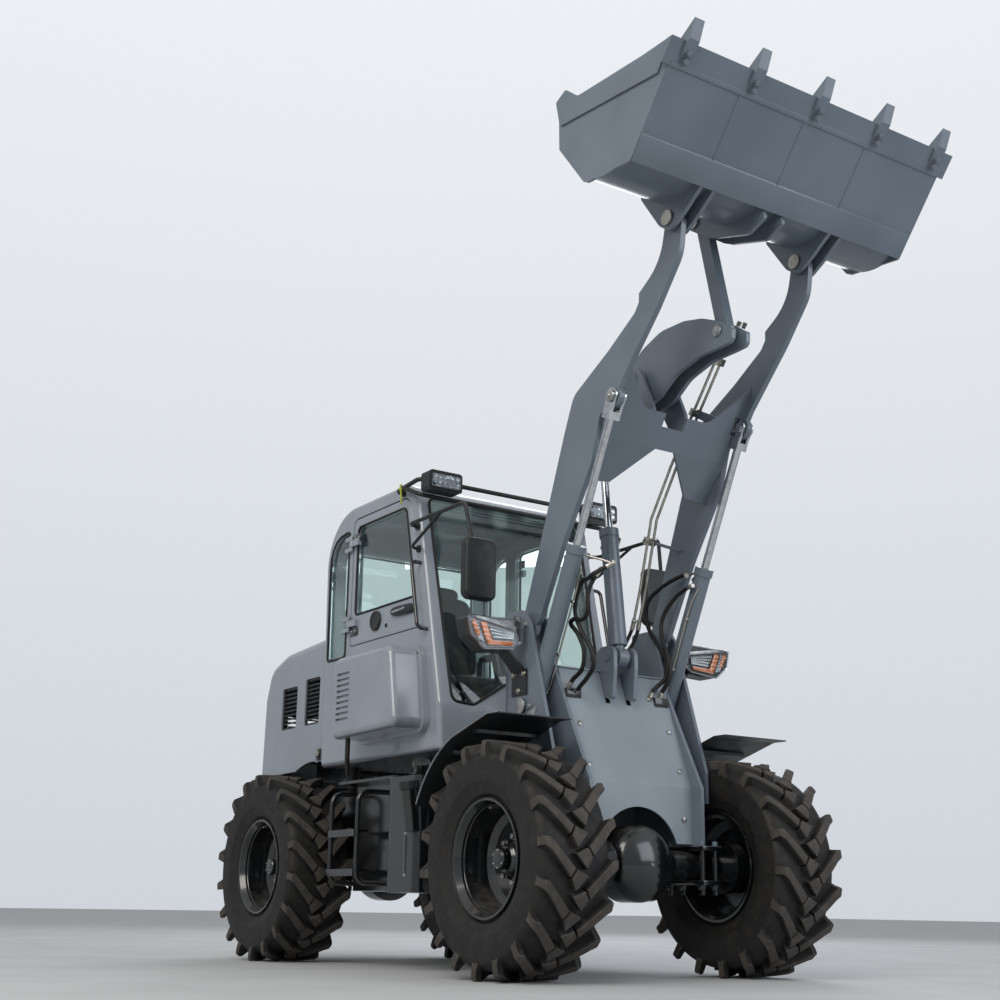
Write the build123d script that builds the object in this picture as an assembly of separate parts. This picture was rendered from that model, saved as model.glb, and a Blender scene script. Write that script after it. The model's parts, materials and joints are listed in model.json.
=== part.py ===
from build123d import *
from math import cos, hypot, radians, sin, sqrt, tan
import os

# Articulated wheel loader, photographed with its boom fully raised and its bucket rolled back.
# Millimetres. While it is drawn, X is forward from the front axle, Y is left, Z is up from the ground.
# The finished pieces are then moved along X so that the origin lies under the middle of the machine.

# Overall driving sizes
WHEELBASE = 2476
TYRE_RADIUS = 538
TYRE_WIDTH = 400
TRACK_HALF = 702
PIVOT_X = -WHEELBASE / 2
REAR_REACH = 3330

# Gaps: a running gap at pins and hubs, a seat gap between bodies, and a free gap beside moving plates
RUN_GAP = 0.3
SIDE_GAP = 3

# Wheels
RIM_RADIUS = 273
RIM_SEAT_RADIUS = 257.7
RIM_HALF = 168
DISC_OFFSET = 16
DISC_THICKNESS = 14
HUB_RADIUS = 78
STUD_CIRCLE = 105
STUD_COUNT = 8
TYRE_FACETS = 36
LUG_COUNT = 18
LUG_HEIGHT = 40
LUG_REACH = 96
CARCASS_RADIUS = TYRE_RADIUS - LUG_HEIGHT

# Axles
AXLE_TUBE_RADIUS = 72
DIFF_RADIUS = 185
DIFF_LENGTH = 150
DOME_ANGLE = radians(32)
DRUM_RADIUS = 130
DRUM_LENGTH = 95

# Loader linkage, as pin centres in side view (X, Z) with the boom raised
BOOM_PIN = (-302, 1711)
TIP_PIN = (905, 3513)
LIFT_ROD_PIN = (433, 2751)
LIFT_BASE_PIN = (-255, 1295)
TILT_BASE_PIN = (-92, 1571)
CRANK_PIN = (174, 2993)
CRANK_TOP_PIN = (784, 3071)
CRANK_LOW_PIN = (-235, 2800)
LINK_PIN = (643, 3713)
BUCKET_PITCH = 52

# Boom
BOOM_Y = 421
BOOM_THICKNESS = 30
BOOM_FOOT_RADIUS = 85
BOOM_LUG_RADIUS = 54
CROSS_THICKNESS = 16
FORK_ROOM = 57
CRANK_EAR_Y = 96
HARD_LINE_STEP = 22
CRANK_EAR_THICKNESS = 20
PIN_RADIUS = 26

# Bucket, in its own frame: a runs along the floor towards the edge, b goes up into the bucket
BUCKET_HALF = 889
EDGE_HALF = 926
BUCKET_SIDE = 14
BUCKET_WALL = 12
FLOOR_B = -143
EDGE_A = 761
HEEL_RADIUS = 330
TOOTH_COUNT = 5
TOOTH_PITCH = 409
TOOTH_WIDTH = 56
TOOTH_TIP = (870, -141)
BRACKET_THICKNESS = 20
BRACKET_GAP = 15
LINK_BRACKET_Y = 49

# Cylinders
LIFT_BARREL_RADIUS = 44
LIFT_ROD_RADIUS = 21
LIFT_BARREL_LENGTH = 852
LIFT_ROD_LENGTH = 845
TILT_BARREL_RADIUS = 47
TILT_ROD_RADIUS = 22
TILT_BARREL_LENGTH = 700
TILT_ROD_LENGTH = 640
TILT_EYE_HALF = 30
FORK_PLATE = 16
PIN_HEAD = 7
STEER_FRONT = (200, 190)
STEER_REAR = (-420, 190)
STEER_Z = 740
STEER_BARREL_RADIUS = 29
STEER_ROD_RADIUS = 14
STEER_BARREL_LENGTH = 330
STEER_ROD_LENGTH = 415

# Bell crank and link
CRANK_PLATE_Y = 36
CRANK_PLATE = 24
CRANK_END_RADIUS = 49
CRANK_TIE = (478, 3080)
LINK_HALF = 25
LINK_PIN_RADIUS = 22

# Front frame
TOWER_INNER_Y = 340
TOWER_OUTER_Y = 470
TOWER_PLATE = 20
COVER_THICKNESS = 8
YOKE_HALF = 190
YOKE_PLATE = 22
ARM_BOTTOM = 455
ARM_TOP = 880
PIVOT_LUGS = (455, 792)
PIVOT_LUG_THICKNESS = 30
PIVOT_PIN_RADIUS = 40
SHAFT_Z = 570
SHAFT_RADIUS = 34
TILT_EAR_Y = 56
TILT_EAR_THICKNESS = 22

# Rear frame
RAIL_Y = 300
RAIL_THICKNESS = 24
RAIL_TOP = 985
RAIL_BOTTOM = 700
DECK_THICKNESS = 15
TANK_FACE_Y = 750
TANK_FRONT = -819
TANK_REAR = -1147
WEIGHT_FRONT = -3030
WEIGHT_HALF = 600
WEIGHT_TOP = 1108
HITCH_RADIUS = 16
HITCH_INSET = 45

# Cab
CAB_HALF = 600
CAB_WALL = 45
CAB_FLOOR_Z = 1120
CAB_ROOF_Z = 2692
DOOR_GAP = 6
GLASS = 6
HINGE_X = -1935
DOOR_SILL_Z = 1818
LEFT_SILL_Z = 1190

# Hood
HOOD_HALF = 540
HOOD_WALL = 24
HOOD_FRONT = -2345
HOOD_REAR = -3262
HOOD_BOTTOM = 1130
STACK_X = -2560
STACK_Y = 255
CLEANER_NECK = 48
EXHAUST_RADIUS = 38

os.makedirs("parts", exist_ok=True)


def bucket_point(a, b):
    """Side-view point of a place in the bucket's frame, whose zero is the tip pin."""
    pitch = radians(BUCKET_PITCH)
    x = TIP_PIN[0] + a * cos(pitch) - b * sin(pitch)
    z = TIP_PIN[1] + a * sin(pitch) + b * cos(pitch)
    return (x, z)


FRONT_REACH = bucket_point(TOOTH_TIP[0], TOOTH_TIP[1] - 3)[0]
CENTRE_SHIFT = (REAR_REACH - FRONT_REACH) / 2


def emit(name, shape):
    """Write one piece, moved so that the origin is under the machine's middle."""
    export_step(Pos(CENTRE_SHIFT, 0, 0) * shape, f"parts/{name}.step")


def emit_pair(name, shape):
    """Write a right-hand piece and its left-hand mirror image under two names."""
    emit(f"{name}_right", shape)
    emit(f"{name}_left", mirror(shape, about=Plane.XZ))


def rounded_wire(rows, place):
    """Closed wire of straight runs and corner arcs. Rows are (u, v, corner radius)."""
    count = len(rows)
    starts, ends, mids = [], [], []
    for i in range(count):
        u, v, r = rows[i]
        pu, pv, _ = rows[i - 1]
        nu, nv, _ = rows[(i + 1) % count]
        back = Vector(pu - u, pv - v).normalized()
        ahead = Vector(nu - u, nv - v).normalized()
        corner = Vector(u, v)
        if r == 0:
            starts.append(corner)
            ends.append(corner)
            mids.append(None)
            continue
        half = radians(back.get_angle(ahead)) / 2
        reach = r / tan(half)
        centre = corner + (back + ahead).normalized() * (r / sin(half))
        starts.append(corner + back * reach)
        ends.append(corner + ahead * reach)
        mids.append(centre + (corner - centre).normalized() * r)
    edges = []
    for i in range(count):
        if mids[i] is not None:
            edges.append(ThreePointArc(*(place(p.X, p.Y) for p in (starts[i], mids[i], ends[i]))))
        after = starts[(i + 1) % count]
        if (after - ends[i]).length > 0.01:
            edges.append(Line(place(ends[i].X, ends[i].Y), place(after.X, after.Y)))
    return Wire(edges)


def inset(rows, depth):
    """The same outline moved inwards by a depth, or outwards by a negative one."""
    count = len(rows)
    area = sum(rows[i - 1][0] * rows[i][1] - rows[i][0] * rows[i - 1][1] for i in range(count))
    turn = 1 if area > 0 else -1
    moved = []
    for i in range(count):
        u, v, r = rows[i]
        pu, pv, _ = rows[i - 1]
        nu, nv, _ = rows[(i + 1) % count]
        before = Vector(u - pu, v - pv).normalized()
        after = Vector(nu - u, nv - v).normalized()
        normal_before = Vector(-before.Y, before.X) * turn
        normal_after = Vector(-after.Y, after.X) * turn
        step = (normal_before + normal_after) * (depth / (1 + normal_before.dot(normal_after)))
        bulge = (before.X * after.Y - before.Y * after.X) * turn
        radius = r - depth if bulge > 0 else r + depth
        moved.append((u + step.X, v + step.Y, max(radius, 0) if r > 0 else 0))
    return moved


def side_plate(rows, y_from, y_to):
    """Plate seen from the side: rows (x, z, radius), extruded from y_from to y_to."""
    wire = rounded_wire(rows, lambda u, v: Vector(u, y_from, v))
    return extrude(Face(wire), amount=y_to - y_from, dir=(0, 1, 0))


def front_plate(rows, x_from, x_to):
    """Plate seen from the front: rows (y, z, radius), extruded from x_from to x_to."""
    wire = rounded_wire(rows, lambda u, v: Vector(x_from, u, v))
    return extrude(Face(wire), amount=x_to - x_from, dir=(1, 0, 0))


def top_plate(rows, z_from, z_to):
    """Plate seen from above: rows (x, y, radius), extruded from z_from to z_to."""
    wire = rounded_wire(rows, lambda u, v: Vector(u, v, z_from))
    return extrude(Face(wire), amount=z_to - z_from, dir=(0, 0, 1))


def block(x_from, x_to, y_from, y_to, z_from, z_to):
    """Box between two corners."""
    corner = Pos((x_from + x_to) / 2, (y_from + y_to) / 2, (z_from + z_to) / 2)
    return corner * Box(abs(x_to - x_from), abs(y_to - y_from), abs(z_to - z_from))


def bar(start, end, radius):
    """Round bar between two points."""
    a = Vector(*start)
    b = Vector(*end)
    plane = Plane(origin=a, z_dir=b - a)
    return plane * Cylinder(radius, (b - a).length, align=(Align.CENTER, Align.CENTER, Align.MIN))


def cross_pin(pin, y_from, y_to, radius):
    """Round bar along Y at a side-view point."""
    low, high = sorted((y_from, y_to))
    return bar((pin[0], low, pin[1]), (pin[0], high, pin[1]), radius)


def bent_tube(points, bend, radius):
    """Round tube along straight runs joined by arcs."""
    path = FilletPolyline(*points, radius=bend)
    section = Plane(origin=path @ 0, z_dir=path % 0) * Circle(radius)
    return sweep(section, path=path)


def both_sides(shape):
    """The shape and its mirror image across the machine's middle, as one piece of two solids."""
    return Compound([shape, mirror(shape, about=Plane.XZ)])


def turned(rows, axis):
    """Ring turned from a profile: rows (distance along the axis, radius)."""
    face = make_face(Polyline(*[(r, t) for t, r in rows], close=True))
    solid = revolve(face, axis=Axis.Y)
    if axis == "Y":
        return solid
    return Rot(0, 0, -90) * solid


def bucket_rows(rows):
    """Rows (a, b, radius) of the bucket's frame as side-view rows (x, z, radius)."""
    return [(*bucket_point(a, b), r) for a, b, r in rows]


# Wheels


def ring_face(low, high, index):
    """One flat facet between two rings, each given as (place along the axle, radius)."""
    corners = []
    for (y, radius), step in ((low, index), (high, index), (high, index + 1), (low, index + 1)):
        turn = radians(360 * step / TYRE_FACETS)
        corners.append(Vector(radius * cos(turn), y, radius * sin(turn)))
    return Face(Wire.make_polygon(corners))


def tyre():
    """Traction tyre about the Y axis: a faceted carcass with two staggered rows of bent lugs."""
    bead = RIM_HALF - 18
    edge = TYRE_WIDTH / 2
    seat_radius = (RIM_SEAT_RADIUS + RUN_GAP) / cos(radians(180 / TYRE_FACETS))
    # Left half of the section, rows (place along the axle, radius), from the bead out to the tread
    half_rows = [
        (bead, seat_radius),
        (bead, RIM_RADIUS + 6),
        (edge - 13, RIM_RADIUS + 65),
        (edge - 5, RIM_RADIUS + 135),
        (edge - 16, CARCASS_RADIUS - 30),
        (edge - 46, CARCASS_RADIUS - 4),
    ]
    rows = half_rows + [(-y, r) for y, r in reversed(half_rows)]
    facets = []
    for i in range(len(rows)):
        for k in range(TYRE_FACETS):
            facets.append(ring_face(rows[i - 1], rows[i], k))
    carcass = Solid(Shell(facets))
    # Lug outline, rows (place around the tyre, place across it), from the shoulder to past the middle
    outline = [
        (LUG_REACH, edge),
        (LUG_REACH - 33, edge),
        (LUG_REACH - 58, edge - 35),
        (-LUG_REACH, 15),
        (40 - LUG_REACH, -20),
        (62 - LUG_REACH, 38),
        (LUG_REACH, edge - 30),
    ]
    face = make_face(Polyline(*outline, close=True))
    lug_top = sqrt(TYRE_RADIUS**2 - LUG_REACH**2)
    lug = Pos(0, 0, CARCASS_RADIUS - 48) * extrude(face, amount=lug_top - CARCASS_RADIUS + 48)
    pitch = 360 / LUG_COUNT
    lugs = []
    for i in range(LUG_COUNT):
        lugs.append(Rot(0, -i * pitch, 0) * lug)
        lugs.append(Rot(0, -(i + 0.5) * pitch, 0) * mirror(lug, about=Plane.XZ))
    return carcass.fuse(*lugs)


def rim():
    """Deep dished wheel about the Y axis with its outer side towards -Y."""
    disc_in = DISC_OFFSET + DISC_THICKNESS
    barrel = RIM_SEAT_RADIUS - 14
    flange_in = RIM_HALF - 18 + RUN_GAP
    # Rows (place along the axle, radius) of the pressed section
    rows = [
        (-RIM_HALF, RIM_RADIUS),
        (-flange_in, RIM_RADIUS),
        (-flange_in, RIM_SEAT_RADIUS),
        (flange_in, RIM_SEAT_RADIUS),
        (flange_in, RIM_RADIUS),
        (RIM_HALF, RIM_RADIUS),
        (RIM_HALF, RIM_RADIUS - 12),
        (RIM_HALF - 12, barrel),
        (disc_in + 30, barrel - 8),
        (disc_in, barrel - 50),
        (disc_in, 0),
        (DISC_OFFSET - 70, 0),
        (DISC_OFFSET - 70, HUB_RADIUS - 20),
        (DISC_OFFSET - 56, HUB_RADIUS - 6),
        (DISC_OFFSET - 22, HUB_RADIUS),
        (DISC_OFFSET, HUB_RADIUS + 8),
        (DISC_OFFSET, barrel - 55),
        (DISC_OFFSET - 22, barrel - 22),
        (-RIM_HALF + 30, barrel),
        (-RIM_HALF, RIM_RADIUS - 12),
    ]
    wheel = turned(rows, "Y")
    studs = []
    for i in range(STUD_COUNT):
        turn = radians(360 * i / STUD_COUNT)
        x = STUD_CIRCLE * cos(turn)
        z = STUD_CIRCLE * sin(turn)
        studs.append(bar((x, DISC_OFFSET - 18, z), (x, DISC_OFFSET + 2, z), 13))
    return wheel.fuse(*studs)


def build_wheels():
    """Four tyres and rims, the left ones mirrored so that every lug points the same way."""
    right_tyre = tyre()
    right_rim = rim()
    for label, x in (("front", 0), ("rear", -WHEELBASE)):
        place = Pos(x, -TRACK_HALF, TYRE_RADIUS)
        emit_pair(f"tyre_{label}", place * right_tyre)
        emit_pair(f"rim_{label}", place * right_rim)


def axle(x, facing):
    """Rigid axle with a domed differential that faces forward (1) or back (-1)."""
    end = TRACK_HALF - DISC_OFFSET - DISC_THICKNESS - RUN_GAP
    # Rows (distance from the middle, radius) of one half of the turned beam
    half_beam = [
        (0, 0),
        (end, 0),
        (end, DRUM_RADIUS - 30),
        (end - 25, DRUM_RADIUS),
        (end - DRUM_LENGTH, DRUM_RADIUS),
        (end - DRUM_LENGTH, AXLE_TUBE_RADIUS),
        (220, AXLE_TUBE_RADIUS),
        (120, AXLE_TUBE_RADIUS + 50),
        (0, AXLE_TUBE_RADIUS + 70),
    ]
    beam = turned(half_beam, "Y")
    beam = beam + mirror(beam, about=Plane.XZ)
    # The dome is a round shoulder that runs smoothly into a flatter ball centred on the axis
    dome_edge = DIFF_LENGTH / 2 - 30
    shoulder = DIFF_RADIUS / 2
    root = DIFF_RADIUS - shoulder
    ball_centre = dome_edge - root / tan(DOME_ANGLE)
    bulge = ball_centre + root / sin(DOME_ANGLE) + shoulder
    turn = (DOME_ANGLE + radians(90)) / 2
    join_point = (dome_edge + shoulder * cos(DOME_ANGLE), root + shoulder * sin(DOME_ANGLE))
    ball = bulge - ball_centre
    profile = Wire(
        [
            Line((-DIFF_LENGTH / 2, 0), (-DIFF_LENGTH / 2, DIFF_RADIUS)),
            Line((-DIFF_LENGTH / 2, DIFF_RADIUS), (dome_edge, DIFF_RADIUS)),
            ThreePointArc(
                (dome_edge, DIFF_RADIUS),
                (dome_edge + shoulder * cos(turn), root + shoulder * sin(turn)),
                join_point,
            ),
            ThreePointArc(
                join_point,
                (ball_centre + ball * cos(DOME_ANGLE / 2), ball * sin(DOME_ANGLE / 2)),
                (bulge, 0),
            ),
            Line((bulge, 0), (-DIFF_LENGTH / 2, 0)),
        ]
    )
    dome = revolve(make_face(profile), axis=Axis.X)
    nose = bar((-DIFF_LENGTH / 2 + 5, 0, 0), (-DIFF_LENGTH / 2 - 150, 0, 0), 70)
    shape = beam + dome + nose
    if facing < 0:
        shape = Rot(0, 0, 180) * shape
    return Pos(x, 0, TYRE_RADIUS) * shape


def build_axles():
    """Both axles, each with its part of the propeller shaft."""
    nose = DIFF_LENGTH / 2 + 140
    front = axle(0, 1)
    front += bar((-nose, 0, TYRE_RADIUS), (PIVOT_X + 75, 0, SHAFT_Z), SHAFT_RADIUS)
    front += bar((PIVOT_X + 80, 0, SHAFT_Z), (PIVOT_X, 0, SHAFT_Z), 18)
    front += Pos(PIVOT_X, 0, SHAFT_Z) * Sphere(28)
    rear = axle(-WHEELBASE, -1)
    rear += bar((nose - WHEELBASE, 0, TYRE_RADIUS), (PIVOT_X - 75, 0, SHAFT_Z), SHAFT_RADIUS)
    for z in (SHAFT_Z - 44, SHAFT_Z + 31):
        rear += block(PIVOT_X - 90, PIVOT_X, -26, 26, z, z + 13)
        rear += Pos(PIVOT_X, 0, z + 6.5) * Cylinder(26, 13)
    for z in (SHAFT_Z - 44, SHAFT_Z + 20):
        rear += block(PIVOT_X - 95, PIVOT_X - 60, -26, 26, z, z + 24)
    emit("front_axle", front)
    emit("rear_axle", rear)


# Front frame

AXLE_PAD_Z = TYRE_RADIUS + AXLE_TUBE_RADIUS + RUN_GAP
CLAMP_Y = 390
CLAMP_HALF_X = 150
CLAMP_HALF_Y = 62
CLAMP_PLATE = 22
TOWER_FRONT = 130
TOWER_TOP = 1497
COVER_TOP = (-160, TOWER_TOP)
COVER_BEND = (57, 919)
COVER_FOOT_Z = 640


def tower_inner(y_from, y_to):
    """Inner tower plate with the ear for the boom's foot and the arm back to the pivot."""
    ear_top = BOOM_PIN[1] + 60
    rows = [
        (BOOM_PIN[0] - 106, ear_top, 20),
        (BOOM_PIN[0] + 60, ear_top, 60),
        (BOOM_PIN[0] + 136, TOWER_TOP + 60, 40),
        (COVER_TOP[0], TOWER_TOP - 20, 0),
        (TOWER_FRONT, COVER_BEND[1] - 5, 20),
        (TOWER_FRONT, AXLE_PAD_Z + CLAMP_PLATE - 2, 0),
        (-CLAMP_HALF_X, AXLE_PAD_Z + CLAMP_PLATE - 2, 30),
        (-CLAMP_HALF_X - 90, ARM_BOTTOM, 60),
        (-420, ARM_BOTTOM, 0),
        (-420, 1300, 200),
    ]
    return side_plate(rows, y_from, y_to)


def tower_outer(y_from, y_to):
    """Outer tower plate that carries the other end of the boom's and cylinder's pins."""
    top = BOOM_PIN[1] + 79
    rows = [
        (BOOM_PIN[0] - 106, top, 30),
        (BOOM_PIN[0] + 44, top, 60),
        (BOOM_PIN[0] + 102, BOOM_PIN[1] + 5, 60),
        (20, 1010, 60),
        (20, 850, 0),
        (-380, 850, 0),
        (-400, 1300, 300),
    ]
    return side_plate(rows, y_from, y_to)


def pin_stubs(pin, radius):
    """The two visible ends of a pin in the right-hand tower, short of the lug between them."""
    outer_out = TOWER_OUTER_Y + TOWER_PLATE
    lug = BOOM_THICKNESS / 2 + SIDE_GAP
    stubs = cross_pin(pin, -outer_out - 10, -BOOM_Y - lug, radius)
    return stubs + cross_pin(pin, -BOOM_Y + lug, -TOWER_INNER_Y - 4, radius)


def front_frame():
    """Towers, cross plates, axle clamps and the pivot yoke, all one welded frame."""
    inner_out = TOWER_INNER_Y + TOWER_PLATE
    outer_out = TOWER_OUTER_Y + TOWER_PLATE
    side = tower_inner(-inner_out, -TOWER_INNER_Y)
    side += tower_outer(-outer_out, -TOWER_OUTER_Y)
    side += block(-400, -382, -outer_out, -inner_out + 5, 850, 1500)
    side += block(-390, 10, -TOWER_OUTER_Y - 5, -inner_out + 5, 850, 866)
    clamp_out = CLAMP_Y + CLAMP_HALF_Y
    clamp_in = CLAMP_Y - CLAMP_HALF_Y
    pad_top = AXLE_PAD_Z + CLAMP_PLATE
    side += block(-CLAMP_HALF_X, CLAMP_HALF_X, -clamp_out, -clamp_in, AXLE_PAD_Z, pad_top)
    low_top = TYRE_RADIUS - AXLE_TUBE_RADIUS - RUN_GAP
    side += block(-CLAMP_HALF_X, CLAMP_HALF_X, -clamp_out, -clamp_in, low_top - CLAMP_PLATE, low_top)
    for x in (-CLAMP_HALF_X + 30, CLAMP_HALF_X - 30):
        for y in (-clamp_out + 20, -clamp_in - 20):
            side += bar((x, y, low_top - 70), (x, y, pad_top + 24), 14)
    side += pin_stubs(LIFT_BASE_PIN, PIN_RADIUS)
    side += pin_stubs(BOOM_PIN, PIN_RADIUS + 6)
    frame = side + mirror(side, about=Plane.XZ)
    width = TOWER_INNER_Y + 2
    frame += block(-400, COVER_TOP[0] - 14, -width, width, TOWER_TOP - 24, TOWER_TOP - 8)
    rear_wall = block(-424, -404, -width, width, ARM_BOTTOM, TOWER_TOP - 8)
    frame += rear_wall - bar((-434, 0, SHAFT_Z - 25), (-394, 0, SHAFT_Z - 25), SHAFT_RADIUS + 24)
    frame += block(-410, -290, -width, width, ARM_BOTTOM + 4, ARM_BOTTOM + 26)
    ear_rows = [
        (TILT_BASE_PIN[0] - 56, TILT_BASE_PIN[1] + 52, 50),
        (TILT_BASE_PIN[0] + 56, TILT_BASE_PIN[1] + 52, 50),
        (TILT_BASE_PIN[0] + 56, TILT_BASE_PIN[1] - 60, 30),
        (-52, 1340, 20),
        (-140, 1370, 0),
        (-290, TOWER_TOP - 20, 0),
        (-250, TOWER_TOP + 40, 60),
    ]
    ear_out = TILT_EAR_Y + TILT_EAR_THICKNESS
    for y in (-ear_out, TILT_EAR_Y):
        frame += side_plate(ear_rows, y, y + TILT_EAR_THICKNESS)
    lug = TILT_EYE_HALF + SIDE_GAP
    frame += cross_pin(TILT_BASE_PIN, -ear_out - 8, -lug, PIN_RADIUS)
    frame += cross_pin(TILT_BASE_PIN, lug, ear_out + 8, PIN_RADIUS)
    return frame + yoke()


def yoke():
    """Narrow rear part of the front frame: two deep plates and the two pivot lugs."""
    yoke_rows = [
        (PIVOT_X + 300, ARM_BOTTOM, 40),
        (PIVOT_X + 300, ARM_TOP - 40, 60),
        (PIVOT_X + 480, ARM_TOP, 120),
        (-418, ARM_TOP, 0),
        (-418, ARM_BOTTOM, 0),
    ]
    shape = side_plate(yoke_rows, YOKE_HALF - YOKE_PLATE, YOKE_HALF)
    shape = shape + mirror(shape, about=Plane.XZ)
    lug_rows = [
        (-418, -YOKE_HALF - 2, 0),
        (-418, YOKE_HALF + 2, 0),
        (PIVOT_X + 330, YOKE_HALF + 2, 60),
        (PIVOT_X + STEER_FRONT[0], STEER_FRONT[1] + 24, 40),
        (PIVOT_X - 10, YOKE_HALF - 60, 60),
        (PIVOT_X - 110, 60, 50),
        (PIVOT_X - 110, -60, 50),
        (PIVOT_X - 10, 60 - YOKE_HALF, 60),
        (PIVOT_X + STEER_FRONT[0], -STEER_FRONT[1] - 24, 40),
        (PIVOT_X + 330, -YOKE_HALF - 2, 60),
    ]
    upright = (Align.CENTER, Align.CENTER, Align.MIN)
    for z in PIVOT_LUGS:
        shape += top_plate(lug_rows, z, z + PIVOT_LUG_THICKNESS)
        hole = Cylinder(PIVOT_PIN_RADIUS + RUN_GAP, PIVOT_LUG_THICKNESS + 10, align=upright)
        shape -= Pos(PIVOT_X, 0, z - 5) * hole
    low = STEER_Z + 18 + SIDE_GAP
    for y in (-STEER_FRONT[1], STEER_FRONT[1]):
        stub = Cylinder(15, PIVOT_LUGS[1] + 5 - low, align=upright)
        shape += Pos(PIVOT_X + STEER_FRONT[0], y, low) * stub
    return shape


def front_cover():
    """Light front cover: a sloping plate, a bend and an apron with an arch over the differential."""
    half = TOWER_INNER_Y - RUN_GAP
    rows = [
        (COVER_TOP[0] - COVER_THICKNESS, COVER_TOP[1] - 4, 0),
        (COVER_TOP[0], COVER_TOP[1], 0),
        (COVER_BEND[0], COVER_BEND[1], 0),
        (COVER_BEND[0], COVER_FOOT_Z, 0),
        (COVER_BEND[0] - COVER_THICKNESS, COVER_FOOT_Z, 0),
        (COVER_BEND[0] - COVER_THICKNESS, COVER_BEND[1] - 2, 0),
    ]
    plate = side_plate(rows, -half, half)
    plate -= bar((0, 0, TYRE_RADIUS + 17), (120, 0, TYRE_RADIUS + 17), DIFF_RADIUS + 70)
    slot = [(-320, 1330, 0), (60, 1330, 0), (60, TOWER_TOP + 20, 0), (-320, TOWER_TOP + 20, 0)]
    for y in (-TILT_EAR_Y - TILT_EAR_THICKNESS - SIDE_GAP, TILT_EAR_Y - SIDE_GAP):
        plate -= side_plate(slot, y, y + TILT_EAR_THICKNESS + 2 * SIDE_GAP)
    return plate


def mudguard():
    """Right-hand front mudguard: a bent sheet on a bracket from the outer tower plate."""
    inner = TOWER_OUTER_Y + TOWER_PLATE + RUN_GAP
    outer = TRACK_HALF + TYRE_WIDTH / 2 + 13
    sheet = 6
    r = TYRE_RADIUS + 78
    top = TYRE_RADIUS + 655

    def polar(angle, radius):
        return Vector(radius * cos(radians(angle)), -outer, TYRE_RADIUS + radius * sin(radians(angle)))

    low, mid, high = 155, 133, 112
    wire = Wire(
        [
            ThreePointArc(polar(low, r), polar(mid, r), polar(high, r)),
            Line(polar(high, r), Vector(70, -outer, top)),
            Line(Vector(70, -outer, top), Vector(160, -outer, top)),
            Line(Vector(160, -outer, top), Vector(160, -outer, top - sheet)),
            Line(Vector(160, -outer, top - sheet), Vector(70, -outer, top - sheet)),
            Line(Vector(70, -outer, top - sheet), polar(high, r - sheet)),
            ThreePointArc(polar(high, r - sheet), polar(mid, r - sheet), polar(low, r - sheet)),
            Line(polar(low, r - sheet), polar(low, r)),
        ]
    )
    shell = extrude(Face(wire), amount=outer - inner, dir=(0, 1, 0))
    for x in (-330, -120):
        height = TYRE_RADIUS + sqrt((r - sheet) ** 2 - x * x)
        shell += block(x - 20, x + 20, -outer + 60, -inner, height - 14, height + 4)
    return shell


LAMP_X = -200
LAMP_DEPTH = 120
# Lens outline, rows (y, z, corner radius), seen from the front
LENS_ROWS = [
    (-859, 1708, 14),
    (-537, 1716, 14),
    (-542, 1600, 14),
    (-582, 1570, 14),
    (-762, 1552, 14),
    (-838, 1617, 20),
]


def lamp_box():
    """Right-hand headlight housing on its bent bracket."""
    housing = front_plate(LENS_ROWS, LAMP_X - LAMP_DEPTH, LAMP_X - 20)
    plate_y = TOWER_OUTER_Y + TOWER_PLATE + RUN_GAP
    foot = block(-342, -212, -plate_y - 8, -plate_y, 1350, 1480)
    rows = [
        (-plate_y, 1462, 0),
        (-plate_y, 1478, 0),
        (-592, 1574, 0),
        (-760, 1560, 0),
        (-760, 1552, 0),
        (-590, 1560, 0),
        (-plate_y - 8, 1458, 0),
    ]
    arm = front_plate(rows, -332, -232)
    return housing + foot + arm


def lens():
    """Right-hand headlight lens, seated on the housing's front."""
    return front_plate(LENS_ROWS, LAMP_X - 20 + RUN_GAP, LAMP_X)


def build_front():
    """Front frame, its cover, mudguards and headlights."""
    emit("front_frame", front_frame())
    emit("front_cover", front_cover())
    emit("front_mudguards", both_sides(mudguard()))
    emit("headlights", both_sides(lamp_box()))
    emit("headlight_lenses", both_sides(lens()))


# Boom


def boom_plate():
    """Right-hand boom plate, outlined around its three pins."""
    rows = [
        (BOOM_PIN[0] - 48, BOOM_PIN[1], 0),
        (BOOM_PIN[0] - 18, BOOM_PIN[1] + 74, 60),
        (20, 2664, 300),
        (100, 2850, 110),
        (389, 3004, 300),
        (602, 3136, 60),
        (636, 3182, 0),
        (637, 3228, 0),
        (800, 3330, 260),
        (TIP_PIN[0] - 60, TIP_PIN[1] + 10, 40),
        (TIP_PIN[0] + 4, TIP_PIN[1] + 66, 50),
        (TIP_PIN[0] + 62, TIP_PIN[1] - 10, 40),
        (945, 3330, 200),
        (765, 3106, 400),
        (505, 2830, 60),
        (LIFT_ROD_PIN[0] + 30, LIFT_ROD_PIN[1] + 20, 0),
        (LIFT_ROD_PIN[0] - 40, LIFT_ROD_PIN[1] - 40, 0),
        (318, 2690, 40),
        (248, 2455, 140),
        (20, 2113, 200),
        (-190, 1727, 60),
        (BOOM_PIN[0] + 60, BOOM_PIN[1] - 20, 0),
    ]
    half = BOOM_THICKNESS / 2
    plate = side_plate(rows, -BOOM_Y - half, -BOOM_Y + half)
    plate += cross_pin(BOOM_PIN, -BOOM_Y - half, -BOOM_Y + half, BOOM_FOOT_RADIUS)
    return plate + cross_pin(LIFT_ROD_PIN, -BOOM_Y - half, -BOOM_Y + half, BOOM_LUG_RADIUS)


CROSS_FOOT = (298, 2587)
CROSS_ANGLE = 58
CROSS_REACH = BOOM_Y - BOOM_THICKNESS / 2 + 4
CROSS_MID = 190
CROSS_TIP = 425


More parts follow.
